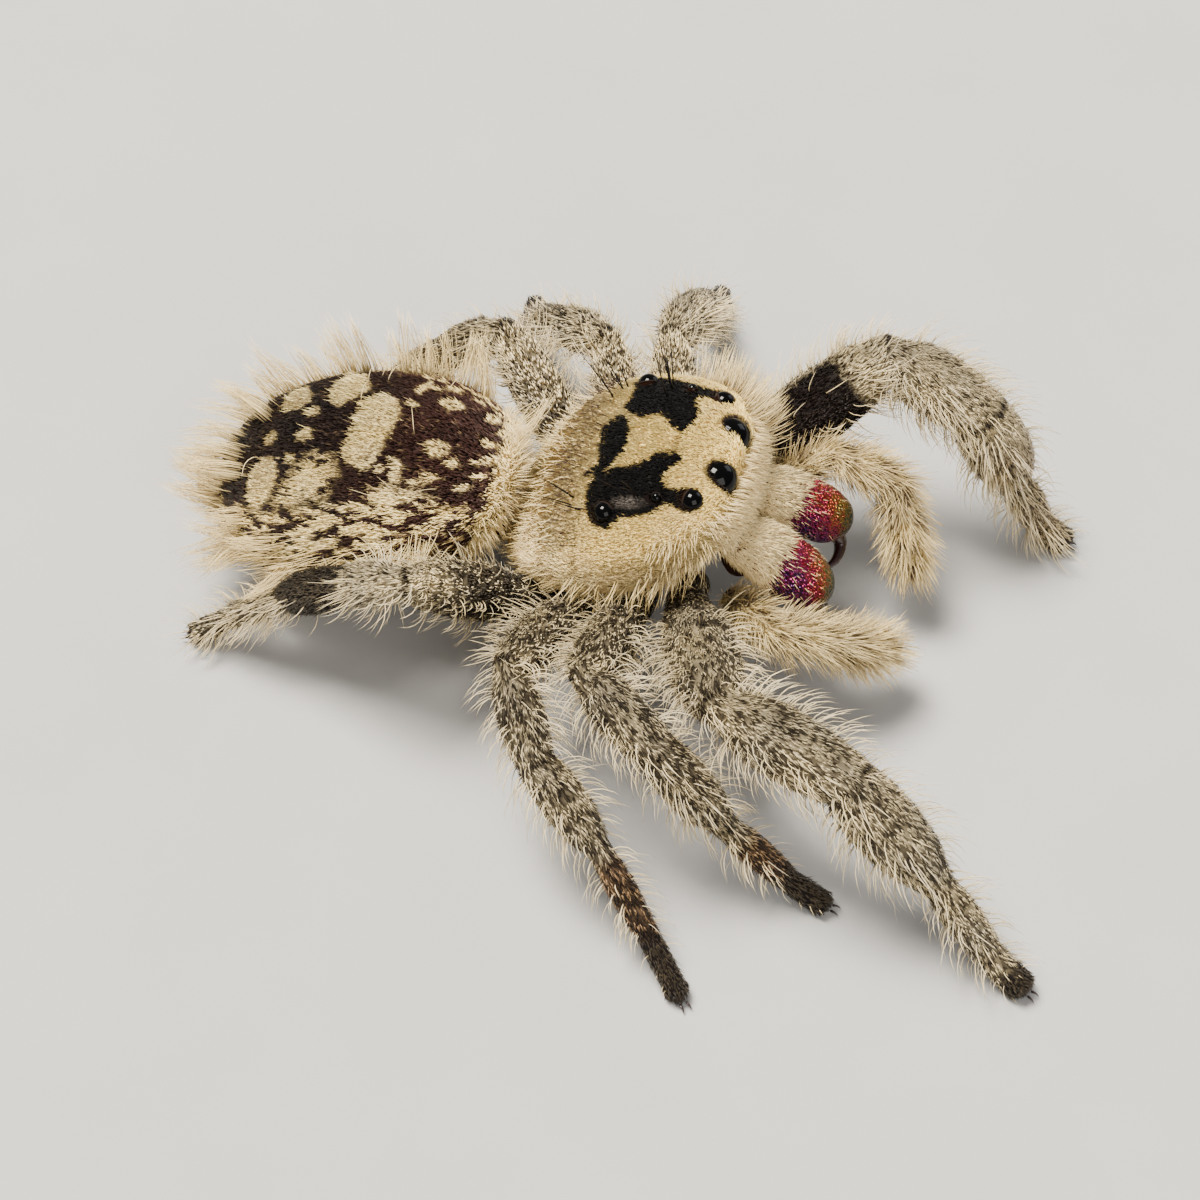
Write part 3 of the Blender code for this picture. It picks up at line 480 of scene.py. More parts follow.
class Hide:
    """A surface of the body, with a place of its own on the map of its coat."""

    def __init__(self, at, box=(0.0, 0.0, 1.0, 1.0)):
        self.at = at
        self.box = box
        self.way = 1.0
        here, normal, _ = self.frame(np.full(16, 0.5), np.arange(16) / 16)
        self.way = math.copysign(1.0, np.sum(normal * (here - here.mean(axis=0))))

    def frame(self, u, v):
        """Places, outward normals and directions toward the far end."""
        step = 0.003
        here = self.at(u, v)
        along = self.at(np.minimum(u + step, 0.999), v) - self.at(np.maximum(u - step, 0.001), v)
        around = self.at(u, v + step) - self.at(u, v - step)
        normal = unit(np.cross(around, along)) * self.way
        along = unit(along - normal * np.sum(along * normal, axis=-1, keepdims=True))
        return here, normal, along

    def map(self, u, v):
        """Places on the coat's map."""
        left, low, right, high = self.box
        return np.stack((left + (right - left) * u, low + (high - low) * (v % 1.0)), axis=-1)

    def roots(self, count, rng, weight=None, cells=160):
        """Random places spread by area, or by area times a weight of places."""
        mid = (np.arange(cells) + 0.5) / cells
        u, v = np.meshgrid(mid, mid, indexing="ij")
        step = 0.5 / cells
        down = self.at(u + step * 0.98, v) - self.at(u - step * 0.98, v)
        over = self.at(u, v + step) - self.at(u, v - step)
        share = np.linalg.norm(np.cross(down, over), axis=-1)
        if weight is not None:
            share = share * weight(u, v)
        share = (share / share.sum()).ravel()
        pick = rng.choice(share.size, size=count, p=share)
        u = (pick // cells + rng.random(count)) / cells
        v = (pick % cells + rng.random(count)) / cells
        return u, v

    def patch(self, rng, count, weight=None):
        """Random places where something grows."""
        return Patch(self, rng, *self.roots(int(count), rng, weight))


class Patch:
    """Places on a hide where scales or hairs grow, with the chance that shapes them."""

    def __init__(self, hide, rng, u, v):
        self.rng, self.u, self.v, self.size = rng, u, v, len(u)
        self.here, self.normal, self.along = hide.frame(u, v)
        self.spot = hide.map(u, v)

    def spread(self, low, high):
        """A number for each place, between low and high."""
        return low + (high - low) * self.rng.random(self.size)

    def waver(self, way, by):
        """Directions that stray from a way by chance."""
        return unit(way + self.rng.normal(0.0, by, self.here.shape))

    def lie(self, by):
        """Directions down the surface that turn by chance."""
        return turned(self.along, self.normal, self.rng.normal(0.0, by, self.size))

    def tones(self, first, second, most):
        """Colours from the first toward the second by chance."""
        return blend(first, second, self.rng.random(self.size) * most)

    def lower(self, height, least):
        """Shares that shorten hair near the floor."""
        return np.clip(self.here[:, 2] / height, least, 1.0)

    def scales(self, depth, lie, length, width, rise, colour):
        """Scales rooted a little under the surface."""
        root = self.here - self.normal * depth
        return scales(root, self.normal, lie, length, width, rise, colour, self.spot)

    def hairs(self, depth, start, end, length, thickness, root_colour, tip_colour, rings=4):
        """Hairs rooted a little under the surface."""
        root = self.here - self.normal * depth
        return hairs(root, self.normal, start, end, length, thickness,
                     root_colour, tip_colour, self.spot, rings)


def grid_skin(hide, rows, columns, depth, tint):
    """Points, quads, corner map and colours of a closed skin inside a hide."""
    u, v = np.meshgrid(np.linspace(0.0, 1.0, rows), np.arange(columns) / columns, indexing="ij")
    here, normal, _ = hide.frame(np.clip(u, 0.001, 0.999), v)
    points = (here - normal * depth).reshape(-1, 3)
    colours = tint(here.reshape(-1, 3), u.ravel(), v.ravel())
    faces, corners = [], []
    for row in range(rows - 1):
        for k in range(columns):
            after = (k + 1) % columns
            low, high = row * columns, (row + 1) * columns
            a, b = row / (rows - 1), (row + 1) / (rows - 1)
            c, d = k / columns, (k + 1) / columns - 1e-6
            faces.append((low + k, high + k, high + after, low + after))
            corners.append([(a, c), (b, c), (b, d), (a, d)])
    last = (rows - 1) * columns
    faces.append(tuple(range(columns)))
    faces.append(tuple(last + k for k in reversed(range(columns))))
    corners.append([(0.001, k / columns) for k in range(columns)])
    corners.append([(0.999, k / columns) for k in reversed(range(columns))])
    if hide.way > 0:
        faces = [face[::-1] for face in faces]
        corners = [corner[::-1] for corner in corners]
    corners = np.concatenate(corners)
    return points, faces, hide.map(corners[:, 0], corners[:, 1]), colours


def scene_object(name, mesh, finish):
    """Link a mesh as a piece that rides on the body."""
    mesh.materials.append(finish)
    thing = bpy.data.objects.new(name, mesh)
    bpy.context.scene.collection.objects.link(thing)
    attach(thing, "root")
    return thing


def set_colours(mesh, colours):
    """Store each point's colour."""
    rgba = np.concatenate((colours, np.ones((len(colours), 1))), axis=1)
    layer = mesh.attributes.new("tint", "FLOAT_COLOR", "POINT")
    layer.data.foreach_set("color", rgba.astype(np.float32).ravel())


def skin_object(name, skins, finish):
    """One skin from several closed surfaces."""
    points, faces, corners, colours = [], [], [], []
    start = 0
    for some_points, some_faces, some_corners, some_colours in skins:
        faces += [tuple(start + k for k in face) for face in some_faces]
        points.append(some_points)
        corners.append(some_corners)
        colours.append(some_colours)
        start += len(some_points)
    points = np.concatenate(points)
    points[:, 2] = np.maximum(points[:, 2], 0.003)
    mesh = bpy.data.meshes.new(name)
    mesh.from_pydata(((points - CENTRE) * MM).tolist(), [], faces)
    places = np.concatenate(corners)
    mesh.uv_layers.new(name="OFBake").data.foreach_set("uv", places.astype(np.float32).ravel())
    set_colours(mesh, np.concatenate(colours))
    mesh.shade_smooth()
    return scene_object(name, mesh, finish)


# A scale: root, two edges and tip, with its place on the map for each point
SCALE_FACES = np.array(((0, 3, 1), (0, 2, 3), (0, 1, 2), (1, 3, 2)))
SCALE_MAP = np.array(((0.5, 0.0), (0.0, 0.5), (1.0, 0.5), (0.5, 1.0)))


def scales(here, normal, lie, length, width, rise, colour, spot):
    """Flat pointed scales that lie along the body."""
    across = unit(np.cross(normal, lie)) * (0.5 * width)[:, None]
    reach = lie * length[:, None]
    lift = normal * (rise * length)[:, None]
    keel = normal * (0.22 * width)[:, None]
    waist = here + reach * 0.45 + lift * 0.45 - keel
    points = np.stack((here, waist + across, waist - across, here + reach + lift), axis=1)
    colours = np.stack((colour * 0.7, colour, colour, np.clip(colour * 1.08, 0, 1)), axis=1)
    return points, SCALE_FACES, colours, spot[:, None, :] + (SCALE_MAP * TUFT_PATCH)[None]


def hair_faces(rings):
    """Faces of a three-sided tapered hair: root cap, sides and tip."""
    faces = [(0, 1, 2)]
    for ring in range(rings - 1):
        for k in range(3):
            a, b = ring * 3 + k, ring * 3 + (k + 1) % 3
            faces += [(a, a + 3, b), (b, a + 3, b + 3)]
    last = (rings - 1) * 3
    faces += [(last + k, rings * 3, last + (k + 1) % 3) for k in range(3)]
    return np.array(faces)


def hairs(here, normal, start, end, length, thickness, root_colour, tip_colour, spot, rings=4):
    """Curved tapered hairs that leave in one direction and end in another."""
    length, thickness = (np.broadcast_to(size, len(here)) for size in (length, thickness))
    root_colour, tip_colour = (np.broadcast_to(tone, here.shape) for tone in (root_colour, tip_colour))
    shares = np.linspace(0.0, 1.0, rings + 1)[:-1]
    across = unit(np.cross(normal, end) + 1e-4)
    points, colours = [], []
    for t in shares:
        way = unit(start * (1.0 - t) + end * t)
        centre = here - normal * 0.03 + (start * (t - t * t / 2) + end * (t * t / 2)) * length[:, None]
        side = unit(across - way * np.sum(across * way, axis=1, keepdims=True))
        other = np.cross(way, side)
        radius = (0.5 * thickness * (1.0 - t) ** 0.6)[:, None]
        for turn in np.arange(3) * 2.0 * math.pi / 3:
            points.append(centre + side * radius * math.cos(turn) + other * radius * math.sin(turn))
            colours.append(root_colour * (1.0 - t) + tip_colour * t)
    points.append(here + (start + end) * 0.5 * length[:, None])
    colours.append(tip_colour)
    place = [(0.5 + 0.4 * math.cos(k), float(t)) for t in shares for k in (0.0, 2.1, 4.2)] + [(0.5, 1.0)]
    spots = spot[:, None, :] + (np.array(place) * TUFT_PATCH)[None]
    return np.stack(points, axis=1), hair_faces(rings), np.stack(colours, axis=1), spots


def tuft_hairs(hide, tufts, count, way, length):
    """Tufts of hairs whose tips close up, one tuft at each place."""
    u, v, rng = tufts.u, tufts.v, tufts.rng
    step = 0.004
    ahead, behind = np.minimum(u + step, 1.0), np.maximum(u - step, 0.0)
    per_u = np.linalg.norm(hide.at(ahead, v) - hide.at(behind, v), axis=-1)
    per_v = np.linalg.norm(hide.at(u, v + step) - hide.at(u, v - step), axis=-1)
    each = np.repeat(np.arange(tufts.size), count)

    def shift(per):
        return rng.normal(0, TUFT_WIDE, len(each)) * 2 * step / np.maximum(per[each], 2e-3)

    near_u = np.clip(u[each] + shift(per_u), 0.01, 0.99)
    near = Patch(hide, rng, near_u, v[each] + shift(per_v))
    own = length[each] * (0.6 + 0.4 * rng.random(near.size) ** 0.5)
    tip = (tufts.here + way * length[:, None])[each] + rng.normal(0.0, TUFT_SPILL, near.here.shape)
    start = unit(near.normal * 0.7 + way[each] * 0.8)
    end = 2.0 * (tip - near.here) / length[each][:, None] - start
    shade = blend(CREAM, PALE, 0.7) * (0.8 + 0.25 * rng.random(near.size))[:, None]
    thickness = near.spread(0.7, 1.2) * 0.025
    return near.hairs(0.05, start, end, own, thickness, shade * 0.72, np.clip(shade, 0, 1))


def coat_object(name, batches, finish):
    """One joined mesh of scales and hairs, all of it above the floor."""
    points, faces, colours, spots = [], [], [], []
    start = 0
    for some_points, pattern, some_colours, some_spots in batches:
        count, size = some_points.shape[:2]
        first = start + size * np.arange(count)
        faces.append((first[:, None, None] + pattern[None]).reshape(-1, 3))
        points.append(some_points.reshape(-1, 3))
        colours.append(some_colours.reshape(-1, 3))
        spots.append(some_spots.reshape(-1, 2))
        start += count * size
    points = np.concatenate(points)
    low = points[:, 2] < 0.04
    points[low, 2] = 0.01 + 0.03 * np.exp(np.clip((points[low, 2] - 0.04) * 12.0, -9.0, 0.0))
    points = (points - CENTRE) * MM
    corners = np.concatenate(faces).ravel()
    mesh = bpy.data.meshes.new(name)
    mesh.vertices.add(len(points))
    mesh.vertices.foreach_set("co", points.astype(np.float32).ravel())
    mesh.loops.add(len(corners))
    mesh.loops.foreach_set("vertex_index", corners.astype(np.int32))
    mesh.polygons.add(len(corners) // 3)
    mesh.polygons.foreach_set("loop_start", np.arange(0, len(corners), 3, dtype=np.int32))
    mesh.update(calc_edges=True)
    places = np.clip(np.concatenate(spots)[corners], 0.0, 1.0)
    mesh.uv_layers.new(name="OFBake").data.foreach_set("uv", places.astype(np.float32).ravel())
    set_colours(mesh, np.clip(np.concatenate(colours), 0.0, 1.0))
    mesh.shade_smooth()
    return scene_object(name, mesh, finish)


def mottle(x, y, seed):
    """A smooth random number from 0 to 1 over two coordinates in cells."""
    table = np.random.default_rng(seed).random((97, 97))
    column, row = np.floor(x).astype(int), np.floor(y).astype(int)
    across, along = x - column, y - row
    across, along = across**2 * (3 - 2 * across), along**2 * (3 - 2 * along)
    a = table[column % 97, row % 97]
    b = table[(column + 1) % 97, row % 97]
    c = table[column % 97, (row + 1) % 97]
    d = table[(column + 1) % 97, (row + 1) % 97]
    return (a * (1 - across) + b * across) * (1 - along) + (c * (1 - across) + d * across) * along


def inside(x, y, outlines, soft):
    """Cover from 0 to 1 of closed outlines with a soft edge."""
    cover = np.zeros_like(x)
    for outline in outlines:
        gap = np.full(x.shape, 9.0)
        within = np.zeros(x.shape, bool)
        for (x0, y0), (x1, y1) in zip(outline, outline[1:] + outline[:1]):
            run, climb = x1 - x0, y1 - y0
            t = np.clip(((x - x0) * run + (y - y0) * climb) / (run * run + climb * climb), 0.0, 1.0)
            gap = np.minimum(gap, np.hypot(x - x0 - run * t, y - y0 - climb * t))
            if climb:
                within ^= ((y0 > y) != (y1 > y)) & (x < x0 + run * (y - y0) / climb)
        cover = np.maximum(cover, np.clip(0.5 + np.where(within, gap, -gap) / soft, 0.0, 1.0))
    return cover


def ovals(x, y, spots, soft):
    """Cover from 0 to 1 of tilted ovals."""
    cover = np.zeros_like(x)
    for x0, y0, long, wide, tilt in spots:
        turn = math.radians(tilt)
        ahead = (x - x0) * math.cos(turn) + (y - y0) * math.sin(turn)
        across = (y - y0) * math.cos(turn) - (x - x0) * math.sin(turn)
        gap = (np.hypot(ahead / long, across / wide) - 1.0) * min(long, wide)
        cover = np.maximum(cover, np.clip(0.5 - gap / soft, 0.0, 1.0))
    return cover


def blend(first, second, share):
    """Colours from first to second by a share, or by a share of each point."""
    return first + (second - first) * np.asarray(share)[..., None]


def near_eyes(points, margin):
    """Cover from 0 to 1 of the dark rims round the eyes: their dark border, with painted shade where each eye
    sits in the head.
    """
    cover = np.zeros(len(points))
    for forward, out, up, radius in EYES.values():
        for sign in (-1, 1):
            gap = np.linalg.norm(points - head_point(forward, sign * out, up), axis=1) - radius
            cover = np.maximum(cover, np.clip((margin - gap) / 0.05, 0.0, 1.0))
    return cover


def head_black(points):
    """Cover from 0 to 1 of the black patches of the head."""
    forward, left, up = head_place(points)
    wave = 0.05 * (mottle(forward * 5.0 + 40, left * 5.0 + 40, 6) - 0.5)
    return inside(forward + wave, left + wave, HEAD_BLACK, 0.05) * fade(up, -1.0, -0.7)


def head_tint(points, u, v):
    """Colours of the coat of head and thorax."""
    forward, left, up = head_place(points)
    wave = mottle(forward * 2.2 + 9, left * 2.2 + 9, 5)
    streak = mottle(forward * 7.0 + 40, up * 2.6 + 40, 6)
    base = blend(CREAM, PALE, np.clip(wave - 0.4, 0, 1) * 0.5)
    base = blend(base, PALE, np.maximum(fade(-forward, 0.2, 1.2), fade(-up, 0.4, 1.4)) * 0.65)
    cheek = fade(-up, 0.35, 1.5) * fade(1.9 - forward, 0.0, 0.9)
    # Tan toward the rear: partly the coat's own tone, partly painted shade
    back = fade(-forward, 0.5, 1.4) * 0.35
    base = blend(base, TAN, np.maximum(cheek, back) * np.clip(1.6 * streak - 0.35, 0.0, 1.0) * 0.7)
    base = blend(base, BROWN, inside(forward, left, HEAD_LINK, 0.08) * 0.5)
    base = blend(base, BLACK, head_black(points))
    # The worn bare streak, grey with its painted sheen
    base = blend(base, WORN_AND_SHEEN, ovals(forward, left, HEAD_WORN_AND_SHEEN, 0.1) * 0.8)
    # Near-black rims round the eyes: their dark border with painted shade round each eye
    return blend(base, blend(BROWN, BLACK, 0.85), near_eyes(points, 0.06))


def abdomen_place(u, v):
    """Millimetres back from the front of the abdomen and round from its top."""
    angle = (270.0 - 360.0 * v) % 360.0 - 180.0
    return ABDOMEN_HALF_LENGTH - ABDOMEN_HALF_LENGTH * np.cos(math.pi * u), angle * ABDOMEN_DEGREE


def abdomen_tint(points, u, v):
    """Colours of the coat of the abdomen."""
    back, side = abdomen_place(u, v)
    fine = mottle(back * 3.4 + side * 0.8 + 20, side * 13.0 + 60, 8)
    broad = mottle(back * 1.6 + 20, side * 2.4 + 60, 9)
    edge = np.where(side < 0, np.interp(back, FLANK[:, 0], FLANK[:, 1]), FAR_FLANK)
    flank = fade(np.abs(side), edge - 0.05, edge + 0.2)
    sparse = 0.53 - 0.10 * fade(back, 3.0, 6.0) + 0.10 * fade(np.abs(side), 3.4, 4.4)
    flank = flank * fade(fine + 0.3 * (broad - 0.5), sparse - 0.08, sparse + 0.04)
    front = fade(0.72 + 0.25 * (fine - 0.5) - back, 0.0, 0.12)
    streak = mottle(back * 5.0 + 20, side * 15.0 + 60, 11)
    speckled = inside(back, side, ABDOMEN_SPECKLED, 0.3) * fade(streak + 0.3 * broad, 0.50, 0.58)
    shake = 0.06 * (mottle(back * 9.0 + 20, side * 11.0 + 70, 10) - 0.5)
    patches = inside(back + shake, side + shake, ABDOMEN_CREAM, 0.05)
    dots = ovals(back + shake, side + shake, ABDOMEN_SPOTS, 0.05)
    pale = np.max((flank, front, speckled, patches, dots), axis=0)
    pale = pale * (1.0 - ovals(back, side, ABDOMEN_PITS, 0.05))
    dark = blend(MAROON, REAR_MAROON, np.clip(0.5 * broad + 0.5 * fade(back, 2.6, 4.0), 0, 1))
    dark = blend(dark, TAN, fade(mottle(back * 16.0, side * 16.0 + 90, 14), 0.80, 0.92) * 0.22)
    cream = blend(CREAM, PALE, np.clip(0.25 + 0.5 * broad, 0, 1))
    return blend(dark, cream, pale)


def joint_lines(name):
    """Shares along a leg where its joints fold."""
    knots = leg_knots(name)
    steps = np.linalg.norm(np.diff(knots[:, :3], axis=0), axis=1)
    places = np.concatenate(([0.0], np.cumsum(steps)))
    joints = []
    for joint in leg_joints(name)[2:6]:
        joints.append(places[np.argmin(np.linalg.norm(knots[:, :3] - joint, axis=1))] / places[-1])
    return np.array(joints), places[-1]


def leg_fringe(name):
    """Where a leg carries long hair: mostly at its sides, and less where it is dark."""
    def fringe(u, v):
        below = 0.10 + np.abs(np.cos(2 * math.pi * v)) ** 3 + 0.15 * (np.sin(2 * math.pi * v) < 0)
        bare = fade(np.interp(u, *np.array(LEG_TONES[name]).T), 0.6, 0.85)
        if name == "1_left":
            inner = fade(0.33 - np.abs((v + 0.45) % 1.0 - 0.5), 0.0, 0.05)
            bare = np.maximum(bare, inner * fade(0.35 - u, 0.0, 0.02))
        if name == "4_right":
            below = below * (1.0 + 2.0 * fade(u, 0.68, 0.74))
        return below * fade(u, 0.10, 0.2) * (1.0 - 0.85 * bare)
    return fringe


def leg_tint(name):
    """Colours of a leg's coat: an even cover without chance, single scales with it."""
    tones = np.array(LEG_TONES[name])
    joints, size = joint_lines(name)
    rust_start, rust_end, rustiness = LEG_RUST.get(name, (2.0, 3.0, 0.0))

    def tint(points, u, v, rng=None):
        speck = mottle(u * 95 + 3, v * 32 + 3, 12)
        broad = mottle(u * 16 + 30, v * 5 + 30, 13)
        dark = np.interp(u, tones[:, 0], tones[:, 1])
        chance = np.clip(dark * 1.45 + (speck - 0.47) * np.minimum(0.35 + 2.5 * dark, 0.95), 0.0, 1.0)
        if rng is None:
            cover = 0.35 + 0.65 * chance
        else:
            cover = (rng.random(len(u)) < chance) * 0.94
        gap = np.min(np.abs(u[:, None] - joints[None]), axis=1) * size
        cover = np.maximum(cover, np.clip(1.3 - gap / 0.04, 0.0, 1.0))
        if name == "1_left":
            turn = (v + 0.5) % 1.0 - 0.5
            inner = fade(0.30 - np.abs(turn - 0.05), 0.0, 0.03)
            cover = np.maximum(cover, inner * fade(u, 0.13, 0.15) * fade(0.345 - u, 0.0, 0.012))
        pale = blend(GREY, PALE, np.clip(0.2 + broad * 0.8, 0, 1))
        rust = fade(u, rust_start, rust_start + 0.03) * fade(rust_end - u, 0.0, 0.02)
        return blend(blend(pale, RUST, rust * rustiness), blend(BROWN, BLACK, 0.88), cover)
    return tint


def palp_tint(points, u, v):
    """Colours of a palp's coat."""
    speck = mottle(u * 30 + 3, v * 9 + 3, 15)
    return blend(blend(CREAM, PALE, np.clip(speck + 0.3, 0, 1)), BROWN, fade(speck, 0.50, 0.66) * 0.8)


def fade(value, low, high):
    """0 below low, 1 above high."""
    return np.clip((value - low) / (high - low), 0.0, 1.0)


class Number:
    """A number of a finish, so that sums on it are written plainly."""

    def __init__(self, finish, socket):
        self.finish = finish
        self.socket = socket

    def sum(self, operation, first, second):
        return self.finish.node("ShaderNodeMath", {"operation": operation}, {0: first, 1: second})

    def __add__(self, other):
        return self.sum("ADD", self, other)

    __radd__ = __add__

    def __sub__(self, other):
        return self.sum("SUBTRACT", self, other)

    def __rsub__(self, other):
        return self.sum("SUBTRACT", other, self)

    def __mul__(self, other):
        return self.sum("MULTIPLY", self, other)

    __rmul__ = __mul__


class Finish:
    """A surface finish and the nodes that make it."""

    def __init__(self, name, **constants):
        self.material = bpy.data.materials.new(name)
        self.material.use_nodes = True
        self.tree = self.material.node_tree
        self.shader = self.tree.nodes["Principled BSDF"]
        for socket, value in constants.items():
            self.shader.inputs[socket.replace("_", " ")].default_value = value

    def node(self, kind, settings=None, sockets=None, output=0):
        """A node with its settings, then the values or links of its sockets."""
        node = self.tree.nodes.new(kind)
        for key, value in (settings or {}).items():
            setattr(node, key, value)
        for key, value in (sockets or {}).items():
            if isinstance(value, Number):
                self.tree.links.new(value.socket, node.inputs[key])
            else:
                node.inputs[key].default_value = value
        return Number(self, node.outputs[output])

    def ramp(self, share, stops):
        """Colours that follow a share from stop to stop."""
        ramp = self.node("ShaderNodeValToRGB", None, {0: share})
        elements = ramp.socket.node.color_ramp.elements
        while len(elements) < len(stops):
            elements.new(0.5)
        for element, (place, colour) in zip(elements, stops):
            element.position = place
            element.color = (*colour, 1.0)
        return ramp

    def mix(self, share, first, second, way="MIX"):
        """A colour between two colours."""
        settings = {"data_type": "RGBA", "blend_type": way}
        return self.node("ShaderNodeMix", settings, {0: share, 6: first, 7: second}, 2)

    def feed(self, socket, value):
        """Link a value to the surface."""
        self.tree.links.new(value.socket, self.shader.inputs[socket])

    def tint(self):
        """The colour stored with the piece."""
        return self.node("ShaderNodeAttribute", {"attribute_name": "tint"})

    def places(self):
        """The piece's own coordinates."""
        return self.node("ShaderNodeTexCoord", output=3)

    def noise(self, scale):
        """Cloudy noise in metres of the piece."""
        return self.node("ShaderNodeTexNoise", None, {"Vector": self.places(), "Scale": scale, "Detail": 3.0})

    def bump(self, height, strength, distance):
        """Relief from a height."""
        sockets = {"Strength": strength, "Distance": distance, "Height": height}
        self.feed("Normal", self.node("ShaderNodeBump", None, sockets))


def tinted_finish(name, roughness, shine, bump):
    """A finish that takes its colour from the stored markings."""
    finish = Finish(name, Roughness=roughness, Specular_IOR_Level=shine)
    shade = finish.ramp(finish.noise(4200.0), ((0.3, (0.84, 0.82, 0.80)), (0.7, (1.0, 1.0, 1.0))))
    finish.feed("Base Color", finish.mix(1.0, finish.tint(), shade, "MULTIPLY"))
    if bump:
        finish.bump(finish.noise(9000.0), bump, 0.00004)
    return finish.material


def eye_finish(name, centre, axis):
    """Black glass on the half that looks out and dark brown behind it."""
    finish = Finish(name, Roughness=0.05, IOR=1.5, Specular_IOR_Level=0.12)
    math_node = "ShaderNodeVectorMath"
    away = finish.node(math_node, {"operation": "SUBTRACT"}, {0: finish.places(), 1: tuple(centre)})
    way = finish.node(math_node, {"operation": "NORMALIZE"}, {0: away})
    facing = finish.node(math_node, {"operation": "DOT_PRODUCT"}, {0: way, 1: tuple(axis)}, 1)
    finish.feed("Base Color", finish.ramp(facing, ((0.0, BROWN * 0.12), (0.0, (0.001, 0.001, 0.001)))))
    return finish.material


def jaw_finish():
    """Grainy metal that turns from violet over magenta and gold to green by its stored phase, a painted
    sheen, and darkens by its stored painted shade.
    """
    finish = Finish("jaw_sheen", Roughness=0.30, Metallic=0.8, Coat_Weight=0.05, Coat_Roughness=0.25)
    phase = finish.node("ShaderNodeSeparateXYZ", None, {0: finish.tint()})
    low = Number(finish, phase.socket.node.outputs[1])
    cells = finish.node("ShaderNodeTexVoronoi", None, {"Vector": finish.places(), "Scale": 15000.0})
    flecks = Number(finish, cells.socket.node.outputs[1])
    fleck = finish.node("ShaderNodeSeparateXYZ", None, {0: flecks})
    wander = finish.noise(1500.0) * 0.24 + fleck * 0.24 - 0.24
    colour = finish.ramp(phase + wander, [(place, srgb(text)) for place, text in JAW_SHEEN])
    # Mixed toward near black by the painted shade stored with the jaw
    finish.feed("Base Color", finish.mix(low, colour, (0.018, 0.008, 0.022, 1.0)))
    finish.bump(cells + finish.noise(5000.0) * 0.5, 1.0, 0.00009)
    return finish.material


def plain_finish(name, colour, roughness, noise_scale, bump):
    """A finish of one colour with fine variation and relief."""
    finish = Finish(name, Roughness=roughness)
    stops = ((0.3, np.array(colour) * 0.7), (0.7, np.array(colour) * 1.2))
    finish.feed("Base Color", finish.ramp(finish.noise(noise_scale), stops))
    finish.bump(finish.noise(noise_scale * 4), bump, 0.00003)
    return finish.material


def floor_object():
    """A plain pale floor."""
    finish = Finish("floor_paint", Roughness=0.85)
    stops = ((0.3, (0.33, 0.327, 0.32)), (0.7, (0.35, 0.347, 0.34)))
    finish.feed("Base Color", finish.ramp(finish.noise(260.0), stops))
    mesh = bpy.data.meshes.new("floor")
    corners = [(x * FLOOR_HALF, y * FLOOR_HALF, 0) for x, y in ((-1, -1), (1, -1), (1, 1), (-1, 1))]
    mesh.from_pydata(corners, [], [(0, 1, 2, 3)])
    mesh.materials.append(finish.material)
    thing = bpy.data.objects.new("floor", mesh)
    bpy.context.scene.collection.objects.link(thing)


def eye_object(kind, side, sign):
    """A domed eye with a finer surface than its solid."""
    forward, out, up, radius = EYES[kind]
    centre = (head_point(forward, sign * out, up) - CENTRE) * MM
    axis = eye_axis(kind, sign)
    look = Vector(axis).to_track_quat("Z", "Y").to_matrix().to_4x4()
    ball = bmesh.new()
    bmesh.ops.create_uvsphere(
        ball, u_segments=40, v_segments=23, radius=radius * MM, matrix=Matrix.Translation(centre) @ look)
    mesh = bpy.data.meshes.new(f"lens_{kind}_{side}")
    ball.to_mesh(mesh)
    ball.free()
    mesh.shade_smooth()
    finish = eye_finish(f"eye_gloss_{kind}_{side}", centre, axis)
    thing = scene_object(f"lens_{kind}_{side}", mesh, finish)
    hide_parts(f"eye_{kind}_{side}")


def ring_skin(centre, axis, radius, tube, colour):
    """A closed ring round an eye, as a surface like those of grid_skin."""
    side = unit(np.cross(axis, (0.0, 0.0, 1.0)))
    other = np.cross(side, axis)
    rows, columns = 40, 10
    points, faces = [], []
    for row in range(rows):
        turn = 2.0 * math.pi * row / rows
        out = side * math.cos(turn) + other * math.sin(turn)
        low, high = row * columns, (row + 1) % rows * columns
        for k in range(columns):
            roll = 2.0 * math.pi * k / columns
            points.append(centre + out * (radius + tube * math.cos(roll)) + axis * tube * math.sin(roll))
            after = (k + 1) % columns
            faces.append((low + k, low + after, high + after, high + k))
    corners = np.tile(((0.5, 0.5), (0.502, 0.5), (0.502, 0.502), (0.5, 0.502)), (len(faces), 1))
    return np.array(points), faces, corners, np.tile(colour, (len(points), 1))


def eye_axis(kind, sign):
    """The way an eye looks."""
    return unit({
        "front_middle": HEAD_FORWARD + HEAD_LEFT * sign * 0.12,
        "front_side": HEAD_FORWARD + HEAD_LEFT * sign * 0.45 + HEAD_UP * 0.2,
        "small": HEAD_LEFT * sign + HEAD_UP * 0.6,
        "rear": HEAD_LEFT * sign + HEAD_UP * 0.5 - HEAD_FORWARD * 0.2,
    }[kind])


def plain_tint(colour):
    """The same colour everywhere."""
    return lambda points, u, v: np.tile(colour, (len(points), 1))


def shaded(tint, share):
    """A coat's colours, darker by a share, for the skin under it."""
    return lambda points, u, v: tint(points, u, v) * share


